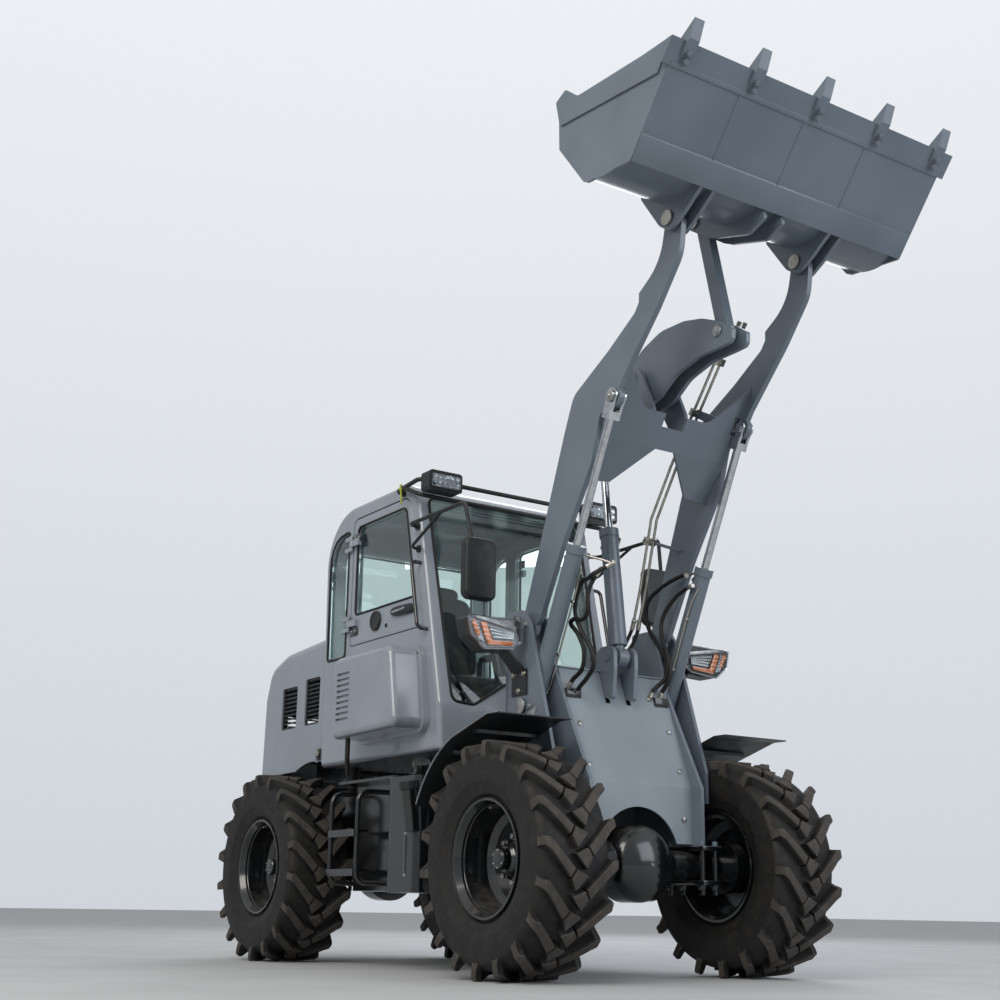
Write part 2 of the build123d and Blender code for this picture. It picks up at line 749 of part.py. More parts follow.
def cross_place(y, rise, depth=0):
    """Point on the crossmember's face: across, up along its slope, and back from it."""
    turn = radians(CROSS_ANGLE)
    x = CROSS_FOOT[0] + rise * cos(turn) - depth * sin(turn)
    z = CROSS_FOOT[1] + rise * sin(turn) + depth * cos(turn)
    return Vector(x, y, z)


def crossmember():
    """Folded crossmember: raised ends, two gussets below and a notch for the bell crank."""
    rows = [
        (-CROSS_REACH, 0, 0),
        (CROSS_REACH, 0, 0),
        (CROSS_REACH, CROSS_TIP, 0),
        (215, CROSS_MID, 60),
        (-215, CROSS_MID, 60),
        (-CROSS_REACH, CROSS_TIP, 0),
    ]
    turn = radians(CROSS_ANGLE)
    back = Vector(-sin(turn), 0, cos(turn))
    face = Face(rounded_wire(rows, lambda u, v: cross_place(u, v)))
    shape = extrude(face, amount=CROSS_THICKNESS, dir=back)
    flange_rows = [
        (-CROSS_REACH, 0, 0),
        (CROSS_REACH, 0, 0),
        (CROSS_REACH, 120, 0),
        (-CROSS_REACH, 120, 0),
    ]
    up = Vector(cos(turn), 0, sin(turn))
    floor = Face(rounded_wire(flange_rows, lambda u, v: cross_place(u, 0, v)))
    shape += extrude(floor, amount=CROSS_THICKNESS, dir=up)
    for side in (-1, 1):
        # Gusset corners, rows (across, down the slope); it leans back by an eighth of its depth
        corners = [(CROSS_REACH, 4), (60, 4), (250, -225), (CROSS_REACH, -240)]
        places = [cross_place(side * y, rise, -rise / 8) for y, rise in corners]
        web = Face(Wire([Line(places[i - 1], places[i]) for i in range(4)]))
        shape += extrude(web, amount=CROSS_THICKNESS, dir=back)
        # Room for the inner plate of the lift rod's fork
        near = side * (CROSS_REACH - 4)
        shape -= cross_pin(LIFT_ROD_PIN, min(near, near - side * 36), max(near, near - side * 36), FORK_ROOM)
    notch = [(-70, 118, 0), (70, 118, 0), (70, CROSS_MID + 10, 0), (-70, CROSS_MID + 10, 0)]
    slot = Face(rounded_wire(notch, lambda u, v: cross_place(u, v, -5)))
    return shape - extrude(slot, amount=CROSS_THICKNESS + 10, dir=back)


def crank_ear(y_from, y_to):
    """Ear on the crossmember for the bell crank's pivot."""
    foot = cross_place(0, CROSS_MID - 60, CROSS_THICKNESS - 4)
    low = cross_place(0, 10, CROSS_THICKNESS - 4)
    rows = [
        (low.X, low.Z, 0),
        (foot.X, foot.Z, 0),
        (foot.X - 10, foot.Z + 90, 60),
        (CRANK_PIN[0] + 60, CRANK_PIN[1] + 56, 52),
        (CRANK_PIN[0] - 56, CRANK_PIN[1] + 52, 50),
        (CRANK_PIN[0] - 56, CRANK_PIN[1] - 60, 50),
    ]
    return side_plate(rows, y_from, y_to)


def boom():
    """Both boom plates, the crossmember and the bell crank's ears."""
    right = boom_plate()
    plate_out = BOOM_Y + BOOM_THICKNESS / 2
    plate_in = BOOM_Y - BOOM_THICKNESS / 2
    right -= cross_pin(TIP_PIN, -plate_out - 5, -plate_in + 5, PIN_RADIUS + RUN_GAP)
    arms = right + mirror(right, about=Plane.XZ)
    arms += crossmember()
    ear_out = CRANK_EAR_Y + CRANK_EAR_THICKNESS
    for y in (-ear_out, CRANK_EAR_Y):
        ear = crank_ear(y, y + CRANK_EAR_THICKNESS)
        arms += ear - cross_pin(CRANK_PIN, y - 10, y + CRANK_EAR_THICKNESS + 10, PIN_RADIUS + RUN_GAP)
    return arms


def hard_lines():
    """Two steel lines up the inner face of the left boom plate, with their clamps and end fittings."""
    inner = BOOM_Y - BOOM_THICKNESS / 2
    tube = 8
    centre_y = inner - tube - 4
    lines = []
    for shift in (0, HARD_LINE_STEP):
        path = [
            (-190 + shift, centre_y, 1880),
            (40 + shift, centre_y, 2400),
            (170 + shift, centre_y, 2760 - shift),
            (395 + shift, centre_y, 2950 - shift),
            (640 + shift, centre_y, 3085 - shift),
            (730 + shift, centre_y, 3170 - shift),
        ]
        lines.append(bent_tube(path, 60, tube))
    clamps = []
    for x, z, lean in ((-60, 2175, 65), (108, 2588, 70), (520, 3011, 31)):
        clamp = Rot(0, -lean, 0) * Box(36, inner - RUN_GAP - centre_y + tube + 4, 74)
        clamps.append(Pos(x + 14, (inner - RUN_GAP + centre_y - tube - 4) / 2, z) * clamp)
    shape = lines[0].fuse(lines[1], *clamps)
    for shift in (0, HARD_LINE_STEP):
        shape += bar((722 + shift, centre_y, 3161 - shift), (748 + shift, centre_y, 3190 - shift), 11)
    return shape


def bell_crank():
    """Two curved plates with a tie and the outer ends of the pins for the tilt rod and the link."""
    ahead = Vector(CRANK_PIN[0] - CRANK_LOW_PIN[0], CRANK_PIN[1] - CRANK_LOW_PIN[1]).normalized()
    side = Vector(-ahead.Y, ahead.X)
    low = Vector(*CRANK_LOW_PIN)
    upper = low + (side - ahead) * (CRANK_END_RADIUS + 1)
    lower = low - (side + ahead) * (CRANK_END_RADIUS + 1)
    rows = [
        (upper.X, upper.Y, CRANK_END_RADIUS),
        (113, 3098, 200),
        (201, 3161, 120),
        (352, 3214, 200),
        (534, 3210, 200),
        (673, 3177, 200),
        (814, 3113, 100),
        (886, 3058, 20),
        (883, 2987, 30),
        (801, 2984, 20),
        (632, 2984, 150),
        (454, 2941, 200),
        (325, 2855, 120),
        (lower.X, lower.Y, CRANK_END_RADIUS),
    ]
    outer = CRANK_PLATE_Y + CRANK_PLATE
    plate = side_plate(rows, -outer, -CRANK_PLATE_Y)
    plate -= cross_pin(CRANK_PIN, -outer - 5, 0, PIN_RADIUS + RUN_GAP)
    for pin in (CRANK_LOW_PIN, CRANK_TOP_PIN):
        plate += cross_pin(pin, -outer - 8, -CRANK_PLATE_Y, LINK_PIN_RADIUS)
    plates = plate + mirror(plate, about=Plane.XZ)
    return plates + cross_pin(CRANK_TIE, -CRANK_PLATE_Y - 5, CRANK_PLATE_Y + 5, 20)


def crank_pin():
    """Pin of the bell crank with a spacer beside each plate."""
    ear_out = CRANK_EAR_Y + CRANK_EAR_THICKNESS
    plate_out = CRANK_PLATE_Y + CRANK_PLATE
    shape = cross_pin(CRANK_PIN, -ear_out - 10, ear_out + 10, PIN_RADIUS)
    for side in (-1, 1):
        shape += cross_pin(CRANK_PIN, side * (plate_out + SIDE_GAP), side * (CRANK_EAR_Y - SIDE_GAP), 44)
    return shape


def link_pin():
    """Pin between link and bucket with a head on each side."""
    bracket_out = LINK_BRACKET_Y + BRACKET_THICKNESS
    shape = cross_pin(LINK_PIN, -bracket_out - 12, bracket_out + 12, LINK_PIN_RADIUS)
    for side in (-1, 1):
        shape += cross_pin(LINK_PIN, side * (bracket_out + 3), side * (bracket_out + 12), 34)
        shape += cross_pin(LINK_PIN, side * (LINK_HALF + SIDE_GAP), side * (LINK_BRACKET_Y - SIDE_GAP), 36)
    return shape


def link():
    """Flat link from the bell crank to the bucket; its lower eye holds the middle of its pin."""
    half_width = 36
    ahead = Vector(LINK_PIN[0] - CRANK_TOP_PIN[0], LINK_PIN[1] - CRANK_TOP_PIN[1]).normalized()
    side = Vector(-ahead.Y, ahead.X) * half_width
    rows = []
    for end, sign in ((CRANK_TOP_PIN, 1), (LINK_PIN, -1)):
        near = Vector(*end) + ahead * (sign * 20)
        pair = [near + side * sign, near - side * sign]
        rows += [(pair[0].X, pair[0].Y, 0), (pair[1].X, pair[1].Y, 0)]
    shape = side_plate(rows, -LINK_HALF, LINK_HALF)
    for pin in (CRANK_TOP_PIN, LINK_PIN):
        shape += cross_pin(pin, -LINK_HALF, LINK_HALF, 46)
    shape -= cross_pin(LINK_PIN, -LINK_HALF - 5, LINK_HALF + 5, LINK_PIN_RADIUS + RUN_GAP)
    stub = CRANK_PLATE_Y - SIDE_GAP
    return shape + cross_pin(CRANK_TOP_PIN, -stub, stub, LINK_PIN_RADIUS)


def bucket_pin():
    """Right-hand pin between boom tip and bucket, with a head outside each bracket plate."""
    reach = BOOM_THICKNESS / 2 + BRACKET_GAP + BRACKET_THICKNESS
    shape = cross_pin(TIP_PIN, -BOOM_Y - reach - 12, -BOOM_Y + reach + 12, PIN_RADIUS)
    for side in (-1, 1):
        shape += cross_pin(TIP_PIN, side * (reach + 3) - BOOM_Y, side * (reach + 12) - BOOM_Y, 38)
        inner = BOOM_THICKNESS / 2 + SIDE_GAP
        outer = BOOM_THICKNESS / 2 + BRACKET_GAP - SIDE_GAP
        shape += cross_pin(TIP_PIN, side * inner - BOOM_Y, side * outer - BOOM_Y, 40)
    return shape


# Bucket


HEEL_CENTRE = (368, FLOOR_B + HEEL_RADIUS)
HEEL_END = 165


def heel(angle, radius):
    """Point (a, b) on an arc about the heel's centre."""
    return (
        HEEL_CENTRE[0] + radius * cos(radians(angle)),
        HEEL_CENTRE[1] + radius * sin(radians(angle)),
    )


def bucket_wall():
    """Rolled shell of the bucket: floor, heel, back and top lip."""

    def at(point):
        x, z = bucket_point(*point)
        return Vector(x, -BUCKET_HALF, z)

    middle = (270 + HEEL_END) / 2
    inner = HEEL_RADIUS - BUCKET_WALL
    outside = [(102, 474), (222, 572), (290, 650)]
    inside = [(299, 642), (230, 562), (113, 466)]
    edges = [
        Line(at((EDGE_A, FLOOR_B)), at((HEEL_CENTRE[0], FLOOR_B))),
        ThreePointArc(at((HEEL_CENTRE[0], FLOOR_B)), at(heel(middle, HEEL_RADIUS)), at(heel(HEEL_END, HEEL_RADIUS))),
    ]
    chain = [heel(HEEL_END, HEEL_RADIUS)] + outside + inside + [heel(HEEL_END, inner)]
    for i in range(len(chain) - 1):
        edges.append(Line(at(chain[i]), at(chain[i + 1])))
    floor_top = FLOOR_B + BUCKET_WALL
    edges.append(
        ThreePointArc(at(heel(HEEL_END, inner)), at(heel(middle, inner)), at((HEEL_CENTRE[0], floor_top)))
    )
    edges.append(Line(at((HEEL_CENTRE[0], floor_top)), at((EDGE_A, floor_top))))
    edges.append(Line(at((EDGE_A, floor_top)), at((EDGE_A, FLOOR_B))))
    return extrude(Face(Wire(edges)), amount=2 * BUCKET_HALF, dir=(0, 1, 0))


def bucket_side():
    """Right-hand side plate with its hook-shaped top corner and the wear bar outside it."""
    rows = [
        (195, FLOOR_B, 20),
        (15, 146, 60),
        (102, 474, 200),
        (222, 572, 60),
        (299, 666, 10),
        (375, 625, 20),
        (370, 495, 60),
        (646, 77, 40),
        (765, -86, 20),
        (EDGE_A, FLOOR_B, 0),
    ]
    plate = side_plate(bucket_rows(rows), -BUCKET_HALF, -BUCKET_HALF + BUCKET_SIDE)
    bar_rows = [(648, -100, 0), (592, -100, 0), (205, 535, 10), (255, 560, 10)]
    return plate + side_plate(bucket_rows(bar_rows), -BUCKET_HALF - 10, -BUCKET_HALF + 2)


def bracket(rows, y_from, y_to):
    """Bracket plate behind the bucket, cut to the rolled heel."""
    plate = side_plate(bucket_rows(rows), y_from, y_to)
    return plate - cross_pin(bucket_point(*HEEL_CENTRE), y_from - 5, y_to + 5, HEEL_RADIUS - BUCKET_WALL / 2)


def bucket():
    """Bucket with cutting edge, five teeth, side plates and its boom and link brackets."""
    side = bucket_side()
    boom_bracket = [
        (62, 290, 0),
        (20, 270, 20),
        (-53, 40, 80),
        (-52, -52, 50),
        (60, -100, 60),
        (205, FLOOR_B - 2, 0),
        (HEEL_CENTRE[0], HEEL_CENTRE[1], 0),
    ]
    offset = BOOM_THICKNESS / 2 + BRACKET_GAP
    for y in (-BOOM_Y - offset - BRACKET_THICKNESS, -BOOM_Y + offset):
        side += bracket(boom_bracket, y, y + BRACKET_THICKNESS)
    hole_reach = offset + BRACKET_THICKNESS + 5
    side -= cross_pin(TIP_PIN, -BOOM_Y - hole_reach, -BOOM_Y + hole_reach, PIN_RADIUS + RUN_GAP)
    link_bracket = [
        (-50, 378, 40),
        (72, 374, 0),
        (62, 290, 0),
        (HEEL_CENTRE[0], HEEL_CENTRE[1], 0),
        (171, -177, 20),
        (62, -110, 60),
        (-40, 160, 200),
    ]
    side += bracket(link_bracket, -LINK_BRACKET_Y - BRACKET_THICKNESS, -LINK_BRACKET_Y)
    side -= cross_pin(LINK_PIN, -LINK_BRACKET_Y - BRACKET_THICKNESS - 5, 0, LINK_PIN_RADIUS + RUN_GAP)
    shape = bucket_wall() + side + mirror(side, about=Plane.XZ)
    lip = [(280, 636, 0), (303, 662, 0), (318, 650, 0), (296, 622, 0)]
    shape += side_plate(bucket_rows(lip), -BUCKET_HALF, BUCKET_HALF)
    edge = [(642, FLOOR_B - 3, 0), (EDGE_A + 4, FLOOR_B - 3, 0), (EDGE_A - 16, -117, 0), (642, -117, 0)]
    shape += side_plate(bucket_rows(edge), -EDGE_HALF, EDGE_HALF)
    tip_a, tip_b = TOOTH_TIP
    tooth = [
        (655, -119, 0),
        (700, -103, 10),
        (EDGE_A + 6, -98, 10),
        (tip_a, tip_b, 0),
        (tip_a, tip_b - 3, 0),
        (EDGE_A + 20, FLOOR_B - 24, 10),
        (720, FLOOR_B - 22, 10),
        (680, FLOOR_B - 2, 0),
    ]
    for i in range(TOOTH_COUNT):
        y = (i - (TOOTH_COUNT - 1) / 2) * TOOTH_PITCH
        shape += side_plate(bucket_rows(tooth), y - TOOTH_WIDTH / 2, y + TOOTH_WIDTH / 2)
        for a in (676, 716):
            low = bucket_point(a, -120)
            top = bucket_point(a, -92)
            shape += bar((low[0], y, low[1]), (top[0], y, top[1]), 12)
    return shape


def build_loader():
    """Everything that the boom lifts, apart from the cylinders."""
    emit("boom", boom())
    emit("hard_lines", hard_lines())
    emit("bellcrank", bell_crank())
    emit("bellcrank_pin", crank_pin())
    emit("link", link())
    emit("link_pin", link_pin())
    emit("bucket_pins", both_sides(bucket_pin()))
    emit("bucket", bucket())


# Cylinders, drawn from the barrel's pin along X with both pins along Y


def barrel(radius, rod_radius, length, eye_radius, eye_half):
    """Cylinder barrel with a solid base eye on a neck, a bore for the rod and a gland ring."""
    flat = Rot(90, 0, 0) * Cylinder(eye_radius, 2 * eye_half)
    neck = min(radius - 4, eye_half)
    shape = flat + bar((eye_radius * 0.7, 0, 0), (eye_radius + 20, 0, 0), neck)
    shape += bar((eye_radius + 12, 0, 0), (length, 0, 0), radius)
    shape += bar((length - 42, 0, 0), (length, 0, 0), radius + 6)
    bore = radius - 9
    shape -= bar((eye_radius + 40, 0, 0), (length - 30, 0, 0), bore)
    shape -= bar((length - 35, 0, 0), (length + 5, 0, 0), rod_radius + RUN_GAP)
    for x in (eye_radius + 50, length - 80):
        shape += bar((x, 0, radius - 6), (x, 0, radius + 22), 12)
    return shape


def eye_rod(reach, radius, length, eye_radius, eye_half):
    """Rod that ends in an eye, which holds the middle of its pin."""
    shape = bar((reach - length, 0, 0), (reach - eye_radius * 0.7, 0, 0), radius)
    return shape + Pos(reach, 0, 0) * Rot(90, 0, 0) * Cylinder(eye_radius, 2 * eye_half)


def fork_rod(reach, radius, length):
    """Rod that ends in a fork astride the boom plate, with the two heads of its pin."""
    inner = BOOM_THICKNESS / 2 + SIDE_GAP
    outer = inner + FORK_PLATE
    shape = bar((reach - length, 0, 0), (reach - 100, 0, 0), radius)
    shape += block(reach - 112, reach - 72, -outer, outer, -30, 30)
    rows = [(reach - 108, -24, 0), (reach + 44, -44, 36), (reach + 44, 44, 36), (reach - 108, 24, 0)]
    for side in (-1, 1):
        low = min(side * inner, side * outer)
        shape += side_plate(rows, low, low + FORK_PLATE)
        head = side * (outer + PIN_HEAD)
        shape += cross_pin((reach, 0), min(side * inner, head), max(side * inner, head), PIN_RADIUS)
    return shape


def lay(shape, start, end, y=0):
    """Place a cylinder piece between two side-view pins."""
    dx = end[0] - start[0]
    dz = end[1] - start[1]
    plane = Plane(origin=(start[0], y, start[1]), x_dir=(dx, 0, dz), z_dir=(-dz, 0, dx))
    return plane * shape


def span(start, end):
    """Distance between two pins."""
    return hypot(end[0] - start[0], end[1] - start[1])


def build_cylinders():
    """Lift, tilt and steering cylinders, each as a barrel and a rod."""
    reach = span(LIFT_BASE_PIN, LIFT_ROD_PIN)
    tube = barrel(LIFT_BARREL_RADIUS, LIFT_ROD_RADIUS, LIFT_BARREL_LENGTH, 52, BOOM_THICKNESS / 2)
    rod = fork_rod(reach, LIFT_ROD_RADIUS, LIFT_ROD_LENGTH)
    emit_pair("lift_barrel", lay(tube, LIFT_BASE_PIN, LIFT_ROD_PIN, -BOOM_Y))
    emit_pair("lift_rod", lay(rod, LIFT_BASE_PIN, LIFT_ROD_PIN, -BOOM_Y))
    reach = span(TILT_BASE_PIN, CRANK_LOW_PIN)
    tube = barrel(TILT_BARREL_RADIUS, TILT_ROD_RADIUS, TILT_BARREL_LENGTH, 50, TILT_EYE_HALF)
    rod = eye_rod(reach, TILT_ROD_RADIUS, TILT_ROD_LENGTH, 46, TILT_EYE_HALF)
    emit("tilt_barrel", lay(tube, TILT_BASE_PIN, CRANK_LOW_PIN))
    emit("tilt_rod", lay(rod, TILT_BASE_PIN, CRANK_LOW_PIN))
    reach = span(STEER_REAR, STEER_FRONT)
    tube = barrel(STEER_BARREL_RADIUS, STEER_ROD_RADIUS, STEER_BARREL_LENGTH, 30, 18)
    rod = eye_rod(reach, STEER_ROD_RADIUS, STEER_ROD_LENGTH, 28, 18)
    place = Pos(PIVOT_X + STEER_REAR[0], -STEER_REAR[1], STEER_Z) * Rot(-90, 0, 0)
    emit_pair("steer_barrel", place * tube)
    emit_pair("steer_rod", place * rod)


# Rear frame


def axle_clamp(x, plate_y, top):
    """Right-hand saddle between the rear axle and the frame rail, with its studs and lower plate."""
    half = 60
    low = TYRE_RADIUS - AXLE_TUBE_RADIUS - RUN_GAP
    shape = block(x - 100, x + 100, -plate_y - half, -plate_y + half, AXLE_PAD_Z, top)
    shape += block(x - 100, x + 100, -plate_y - half, -plate_y + half, low - CLAMP_PLATE, low)
    for dx in (-84, 84):
        for dy in (-42, 42):
            shape += bar((x + dx, dy - plate_y, low - 60), (x + dx, dy - plate_y, AXLE_PAD_Z + 20), 12)
    return shape


def rear_chassis():
    """Rear frame: two rails, the pivot lugs, cross plates, rear axle saddles and the cab's deck."""
    rail_rows = [
        (WEIGHT_FRONT + RUN_GAP, RAIL_BOTTOM, 0),
        (WEIGHT_FRONT + RUN_GAP, RAIL_TOP, 0),
        (-900, RAIL_TOP, 0),
        (-900, 905, 20),
        (-1330, 905, 40),
        (PIVOT_X - 140, 870, 40),
        (PIVOT_X - 140, 422, 20),
        (-1700, 422, 60),
        (-1860, RAIL_BOTTOM, 80),
    ]
    half = RAIL_THICKNESS / 2
    side = side_plate(rail_rows, -RAIL_Y - half, -RAIL_Y + half)
    side += axle_clamp(-WHEELBASE, 330, RAIL_BOTTOM + 10)
    frame = side + mirror(side, about=Plane.XZ)
    inner = RAIL_Y - half + 2
    lug_rows = [
        (PIVOT_X - 480, -inner, 0),
        (PIVOT_X - 480, inner, 0),
        (PIVOT_X - 160, inner, 60),
        (PIVOT_X + 70, 60, 60),
        (PIVOT_X + 70, -60, 60),
        (PIVOT_X - 160, -inner, 60),
    ]
    upright = (Align.CENTER, Align.CENTER, Align.MIN)
    low = PIVOT_LUGS[0] - SIDE_GAP - PIVOT_LUG_THICKNESS
    high = PIVOT_LUGS[1] + PIVOT_LUG_THICKNESS + SIDE_GAP
    for z in (low, high):
        frame += top_plate(lug_rows, z, z + PIVOT_LUG_THICKNESS)
    inner_low = PIVOT_LUGS[0] + PIVOT_LUG_THICKNESS + 6
    inner_high = PIVOT_LUGS[1] - 6
    top = high + PIVOT_LUG_THICKNESS + 12
    frame += Pos(PIVOT_X, 0, low - 8) * Cylinder(PIVOT_PIN_RADIUS, inner_low - low + 8, align=upright)
    frame += Pos(PIVOT_X, 0, inner_high) * Cylinder(PIVOT_PIN_RADIUS, top - inner_high, align=upright)
    bulkhead = block(PIVOT_X - 500, PIVOT_X - 480, -inner, inner, low, high + PIVOT_LUG_THICKNESS)
    bulkhead -= bar((PIVOT_X - 510, 0, SHAFT_Z - 10), (PIVOT_X - 470, 0, SHAFT_Z - 10), 70)
    frame += bulkhead
    for y in (-STEER_REAR[1], STEER_REAR[1]):
        x = PIVOT_X + STEER_REAR[0]
        for z in (STEER_Z - 18 - SIDE_GAP - 16, STEER_Z + 18 + SIDE_GAP):
            frame += block(x - 64, x, y - 30, y + 30, z, z + 16)
            frame += Pos(x, y, z) * Cylinder(30, 16, align=upright)
    for x in (-1900, -2950):
        frame += block(x - 10, x + 10, -inner, inner, RAIL_TOP - 120, RAIL_TOP - 10)
    deck_rows = [
        (-2330, -480, 30),
        (-1830, -480, 30),
        (-1830, -700, 30),
        (-1150, -700, 30),
        (-1150, -560, 30),
        (-890, -560, 60),
        (-890, 560, 60),
        (-1150, 560, 30),
        (-1150, 700, 30),
        (-1830, 700, 30),
        (-1830, 480, 30),
        (-2330, 480, 30),
    ]
    return frame + top_plate(deck_rows, RAIL_TOP - 1, RAIL_TOP + DECK_THICKNESS)


def cab_mounts():
    """Four rubber mounts between deck and cab floor."""
    low = RAIL_TOP + DECK_THICKNESS + RUN_GAP
    height = CAB_FLOOR_Z - RUN_GAP - low
    upright = (Align.CENTER, Align.CENTER, Align.MIN)
    mounts = []
    for x, y in ((-1080, 460), (-2140, 430)):
        for side in (-1, 1):
            puck = Cylinder(52, height * 0.36, align=upright)
            puck += Pos(0, 0, height * 0.36) * Cylinder(38, height * 0.64, align=upright)
            mounts.append(Pos(x, side * y, low) * puck)
    return Compound(mounts)


def counterweight():
    """Cast rear weight with a tow jaw and its pin bore."""
    rows = [
        (WEIGHT_FRONT, 560, 20),
        (-REAR_REACH, 560, 20),
        (-REAR_REACH, WEIGHT_TOP, 25),
        (WEIGHT_FRONT, WEIGHT_TOP, 0),
    ]
    shape = side_plate(rows, -WEIGHT_HALF, WEIGHT_HALF)
    corner_rows = [
        (WEIGHT_FRONT + 5, -WEIGHT_HALF - 5, 0),
        (-REAR_REACH, -WEIGHT_HALF, 110),
        (-REAR_REACH, WEIGHT_HALF, 110),
        (WEIGHT_FRONT + 5, WEIGHT_HALF + 5, 0),
    ]
    shape = shape & top_plate(corner_rows, 500, 1200)
    shape -= block(-REAR_REACH - 5, -REAR_REACH + 150, -70, 70, 640, 730)
    shape -= bar((-REAR_REACH + HITCH_INSET, 0, 500), (-REAR_REACH + HITCH_INSET, 0, 1200), HITCH_RADIUS)
    for side in (-1, 1):
        y = side * 430
        shape -= block(-REAR_REACH - 5, -REAR_REACH + 30, y - 110, y + 110, 905, 1010)
        hinge_y = side * 330
        shape += block(HOOD_REAR + 2, HOOD_REAR + 60, hinge_y - 40, hinge_y + 40, WEIGHT_TOP - 5, HOOD_BOTTOM - RUN_GAP)
        rest_y = side * (HOOD_HALF - HOOD_WALL / 2)
        shape += block(-3110, WEIGHT_FRONT, rest_y - 10, rest_y + 10, WEIGHT_TOP - 5, HOOD_BOTTOM - RUN_GAP)
    return shape


def rear_lamps():
    """Rear lamps in the recesses of the counterweight."""
    lamps = []
    for side in (-1, 1):
        y = side * 430
        x = -REAR_REACH + 30 - RUN_GAP
        lamps.append(block(x - 24, x, y - 100, y + 100, 915, 1000))
    return Compound(lamps)


def side_tank(front):
    """Right-hand box under the deck with a deeper tank ahead of it, its filler neck and gauge."""
    rail = RAIL_Y + RAIL_THICKNESS / 2 + RUN_GAP
    top = RAIL_TOP - 1 - RUN_GAP
    box_rows = [
        (-1800, -rail, 0),
        (-1800, -600, 40),
        (TANK_REAR + 4, -600, 0),
        (TANK_REAR + 4, -562, 20),
        (PIVOT_X - 60, -540, 40),
        (PIVOT_X - 90, -rail, 0),
    ]
    shape = top_plate(box_rows, 400, top)
    tank = block(TANK_REAR, front, -TANK_FACE_Y, -560, 388, 980)
    edges = tank.edges().filter_by(Axis.Z)
    tank = fillet(edges, 45)
    shape += tank
    return shape


def hydraulic_tank():
    """Right-hand hydraulic tank with a slanted filler neck and a sight gauge on its front."""
    shape = side_tank(TANK_FRONT)
    shape += bar((TANK_FRONT - 100, -680, 970), (TANK_FRONT - 60, -700, 1040), 38)
    shape += bar((TANK_FRONT - 66, -697, 1030), (TANK_FRONT - 54, -703, 1052), 47)
    shape += block(TANK_FRONT - 4, TANK_FRONT + 14, -690, -660, 620, 860)
    return shape


def fuel_tank():
    """Left-hand fuel tank, the mirror of the hydraulic one, with a flat cap on top."""
    shape = side_tank(TANK_FRONT)
    upright = (Align.CENTER, Align.CENTER, Align.MIN)
    shape += Pos(TANK_FRONT - 110, -650, 978) * Cylinder(42, 46, align=upright)
    return mirror(shape, about=Plane.XZ)


def ladder():
    """Right-hand access ladder: two bent rails and two rungs on the box under the deck."""
    seat_y = 600 + RUN_GAP
    out_y = 760
    shape = None
    for x in (-1755, -1445):
        rail = bent_tube([(x, -seat_y, 930), (x, -out_y, 930), (x, -out_y, 440), (x, -seat_y, 440)], 60, 14)
        shape = rail if shape is None else shape + rail
    for z in (500, 710):
        shape += block(-1755, -1445, -out_y - 20, -out_y + 70, z, z + 14)
        shape += block(-1755, -1445, -out_y - 20, -out_y - 12, z - 24, z + 4)
    return shape


def build_rear():
    """Rear frame and what is bolted to it."""
    emit("rear_chassis", rear_chassis())
    emit("cab_mounts", cab_mounts())
    emit("counterweight", counterweight())
    emit("rear_lamps", rear_lamps())
    emit("hydraulic_tank", hydraulic_tank())
    emit("fuel_tank", fuel_tank())
    emit("ladders", both_sides(ladder()))
    width = RAIL_Y - RAIL_THICKNESS / 2 - RUN_GAP
    engine_rows = [(-2920, 850, 0), (-2920, 1640, 0), (-2540, 1640, 0), (-2380, 1215, 0), (-2380, 850, 0)]
    emit("powertrain", side_plate(engine_rows, -width, width))


# Cab, as side-view outlines (x, z, corner radius)

CAB_ROWS = [
    (-2255, CAB_FLOOR_Z, 15),
    (-2305, CAB_ROOF_Z, 340),
    (-1190, CAB_ROOF_Z, 220),
    (-1143, 2457, 0),
    (-886, 1378, 30),
    (-866, CAB_FLOOR_Z, 15),
]
WINDOW_DOOR_ROWS = [
    (HINGE_X, DOOR_SILL_Z, 25),
    (HINGE_X, 2600, 40),
    (-1262, 2600, 90),
    (-1072, DOOR_SILL_Z, 25),
]
WINDOW_DOOR_GLASS = [
    (HINGE_X + 55, 2000, 30),
    (HINGE_X + 55, 2545, 40),
    (-1298, 2545, 60),
    (-1168, 2000, 30),
]
FULL_DOOR_ROWS = [
    (HINGE_X, LEFT_SILL_Z, 25),
    (HINGE_X, 2600, 40),
    (-1262, 2600, 90),
    (-952, LEFT_SILL_Z, 25),
]
FULL_DOOR_GLASS = [
    (HINGE_X + 55, 1560, 30),
    (HINGE_X + 55, 2545, 40),
    (-1298, 2545, 60),
    (-1092, 1560, 30),
]
QUARTER_ROWS = [
    (-2222, 1760, 30),
    (-2238, 2540, 205),
    (-1990, 2540, 30),
    (-1990, 1760, 30),
]
WINDSCREEN_ROWS = [
    (-535, 2585, 50),
    (535, 2585, 50),
    (516, 1389, 50),
    (374, 1379, 60),
    (148, 1515, 60),
    (-148, 1515, 60),
    (-374, 1379, 60),
    (-516, 1389, 50),
]
REAR_WINDOW_ROWS = [
    (-480, 2480, 60),
    (480, 2480, 60),
    (480, 2020, 60),
    (-480, 2020, 60),
]


def hinge_posts(side, outward, z_low, z_high, gap):
    """Hinge leaves and knuckles beside a door's rear edge, at two heights."""
    shapes = []
    axis_y = side * (CAB_HALF + outward)
    for z in (z_low, z_high):
        for dz in (-45 - gap, 20 + gap):
            shapes.append(bar((HINGE_X - 5, axis_y, z + dz), (HINGE_X - 5, axis_y, z + dz + 25), 13))
        y_face = side * (CAB_HALF - 2)
        shapes.append(block(HINGE_X - 75, HINGE_X - 9, y_face, axis_y + side * 6, z - 45 - gap, z - 20 - gap))
        shapes.append(block(HINGE_X - 75, HINGE_X - 9, y_face, axis_y + side * 6, z + 20 + gap, z + 45 + gap))
    return shapes


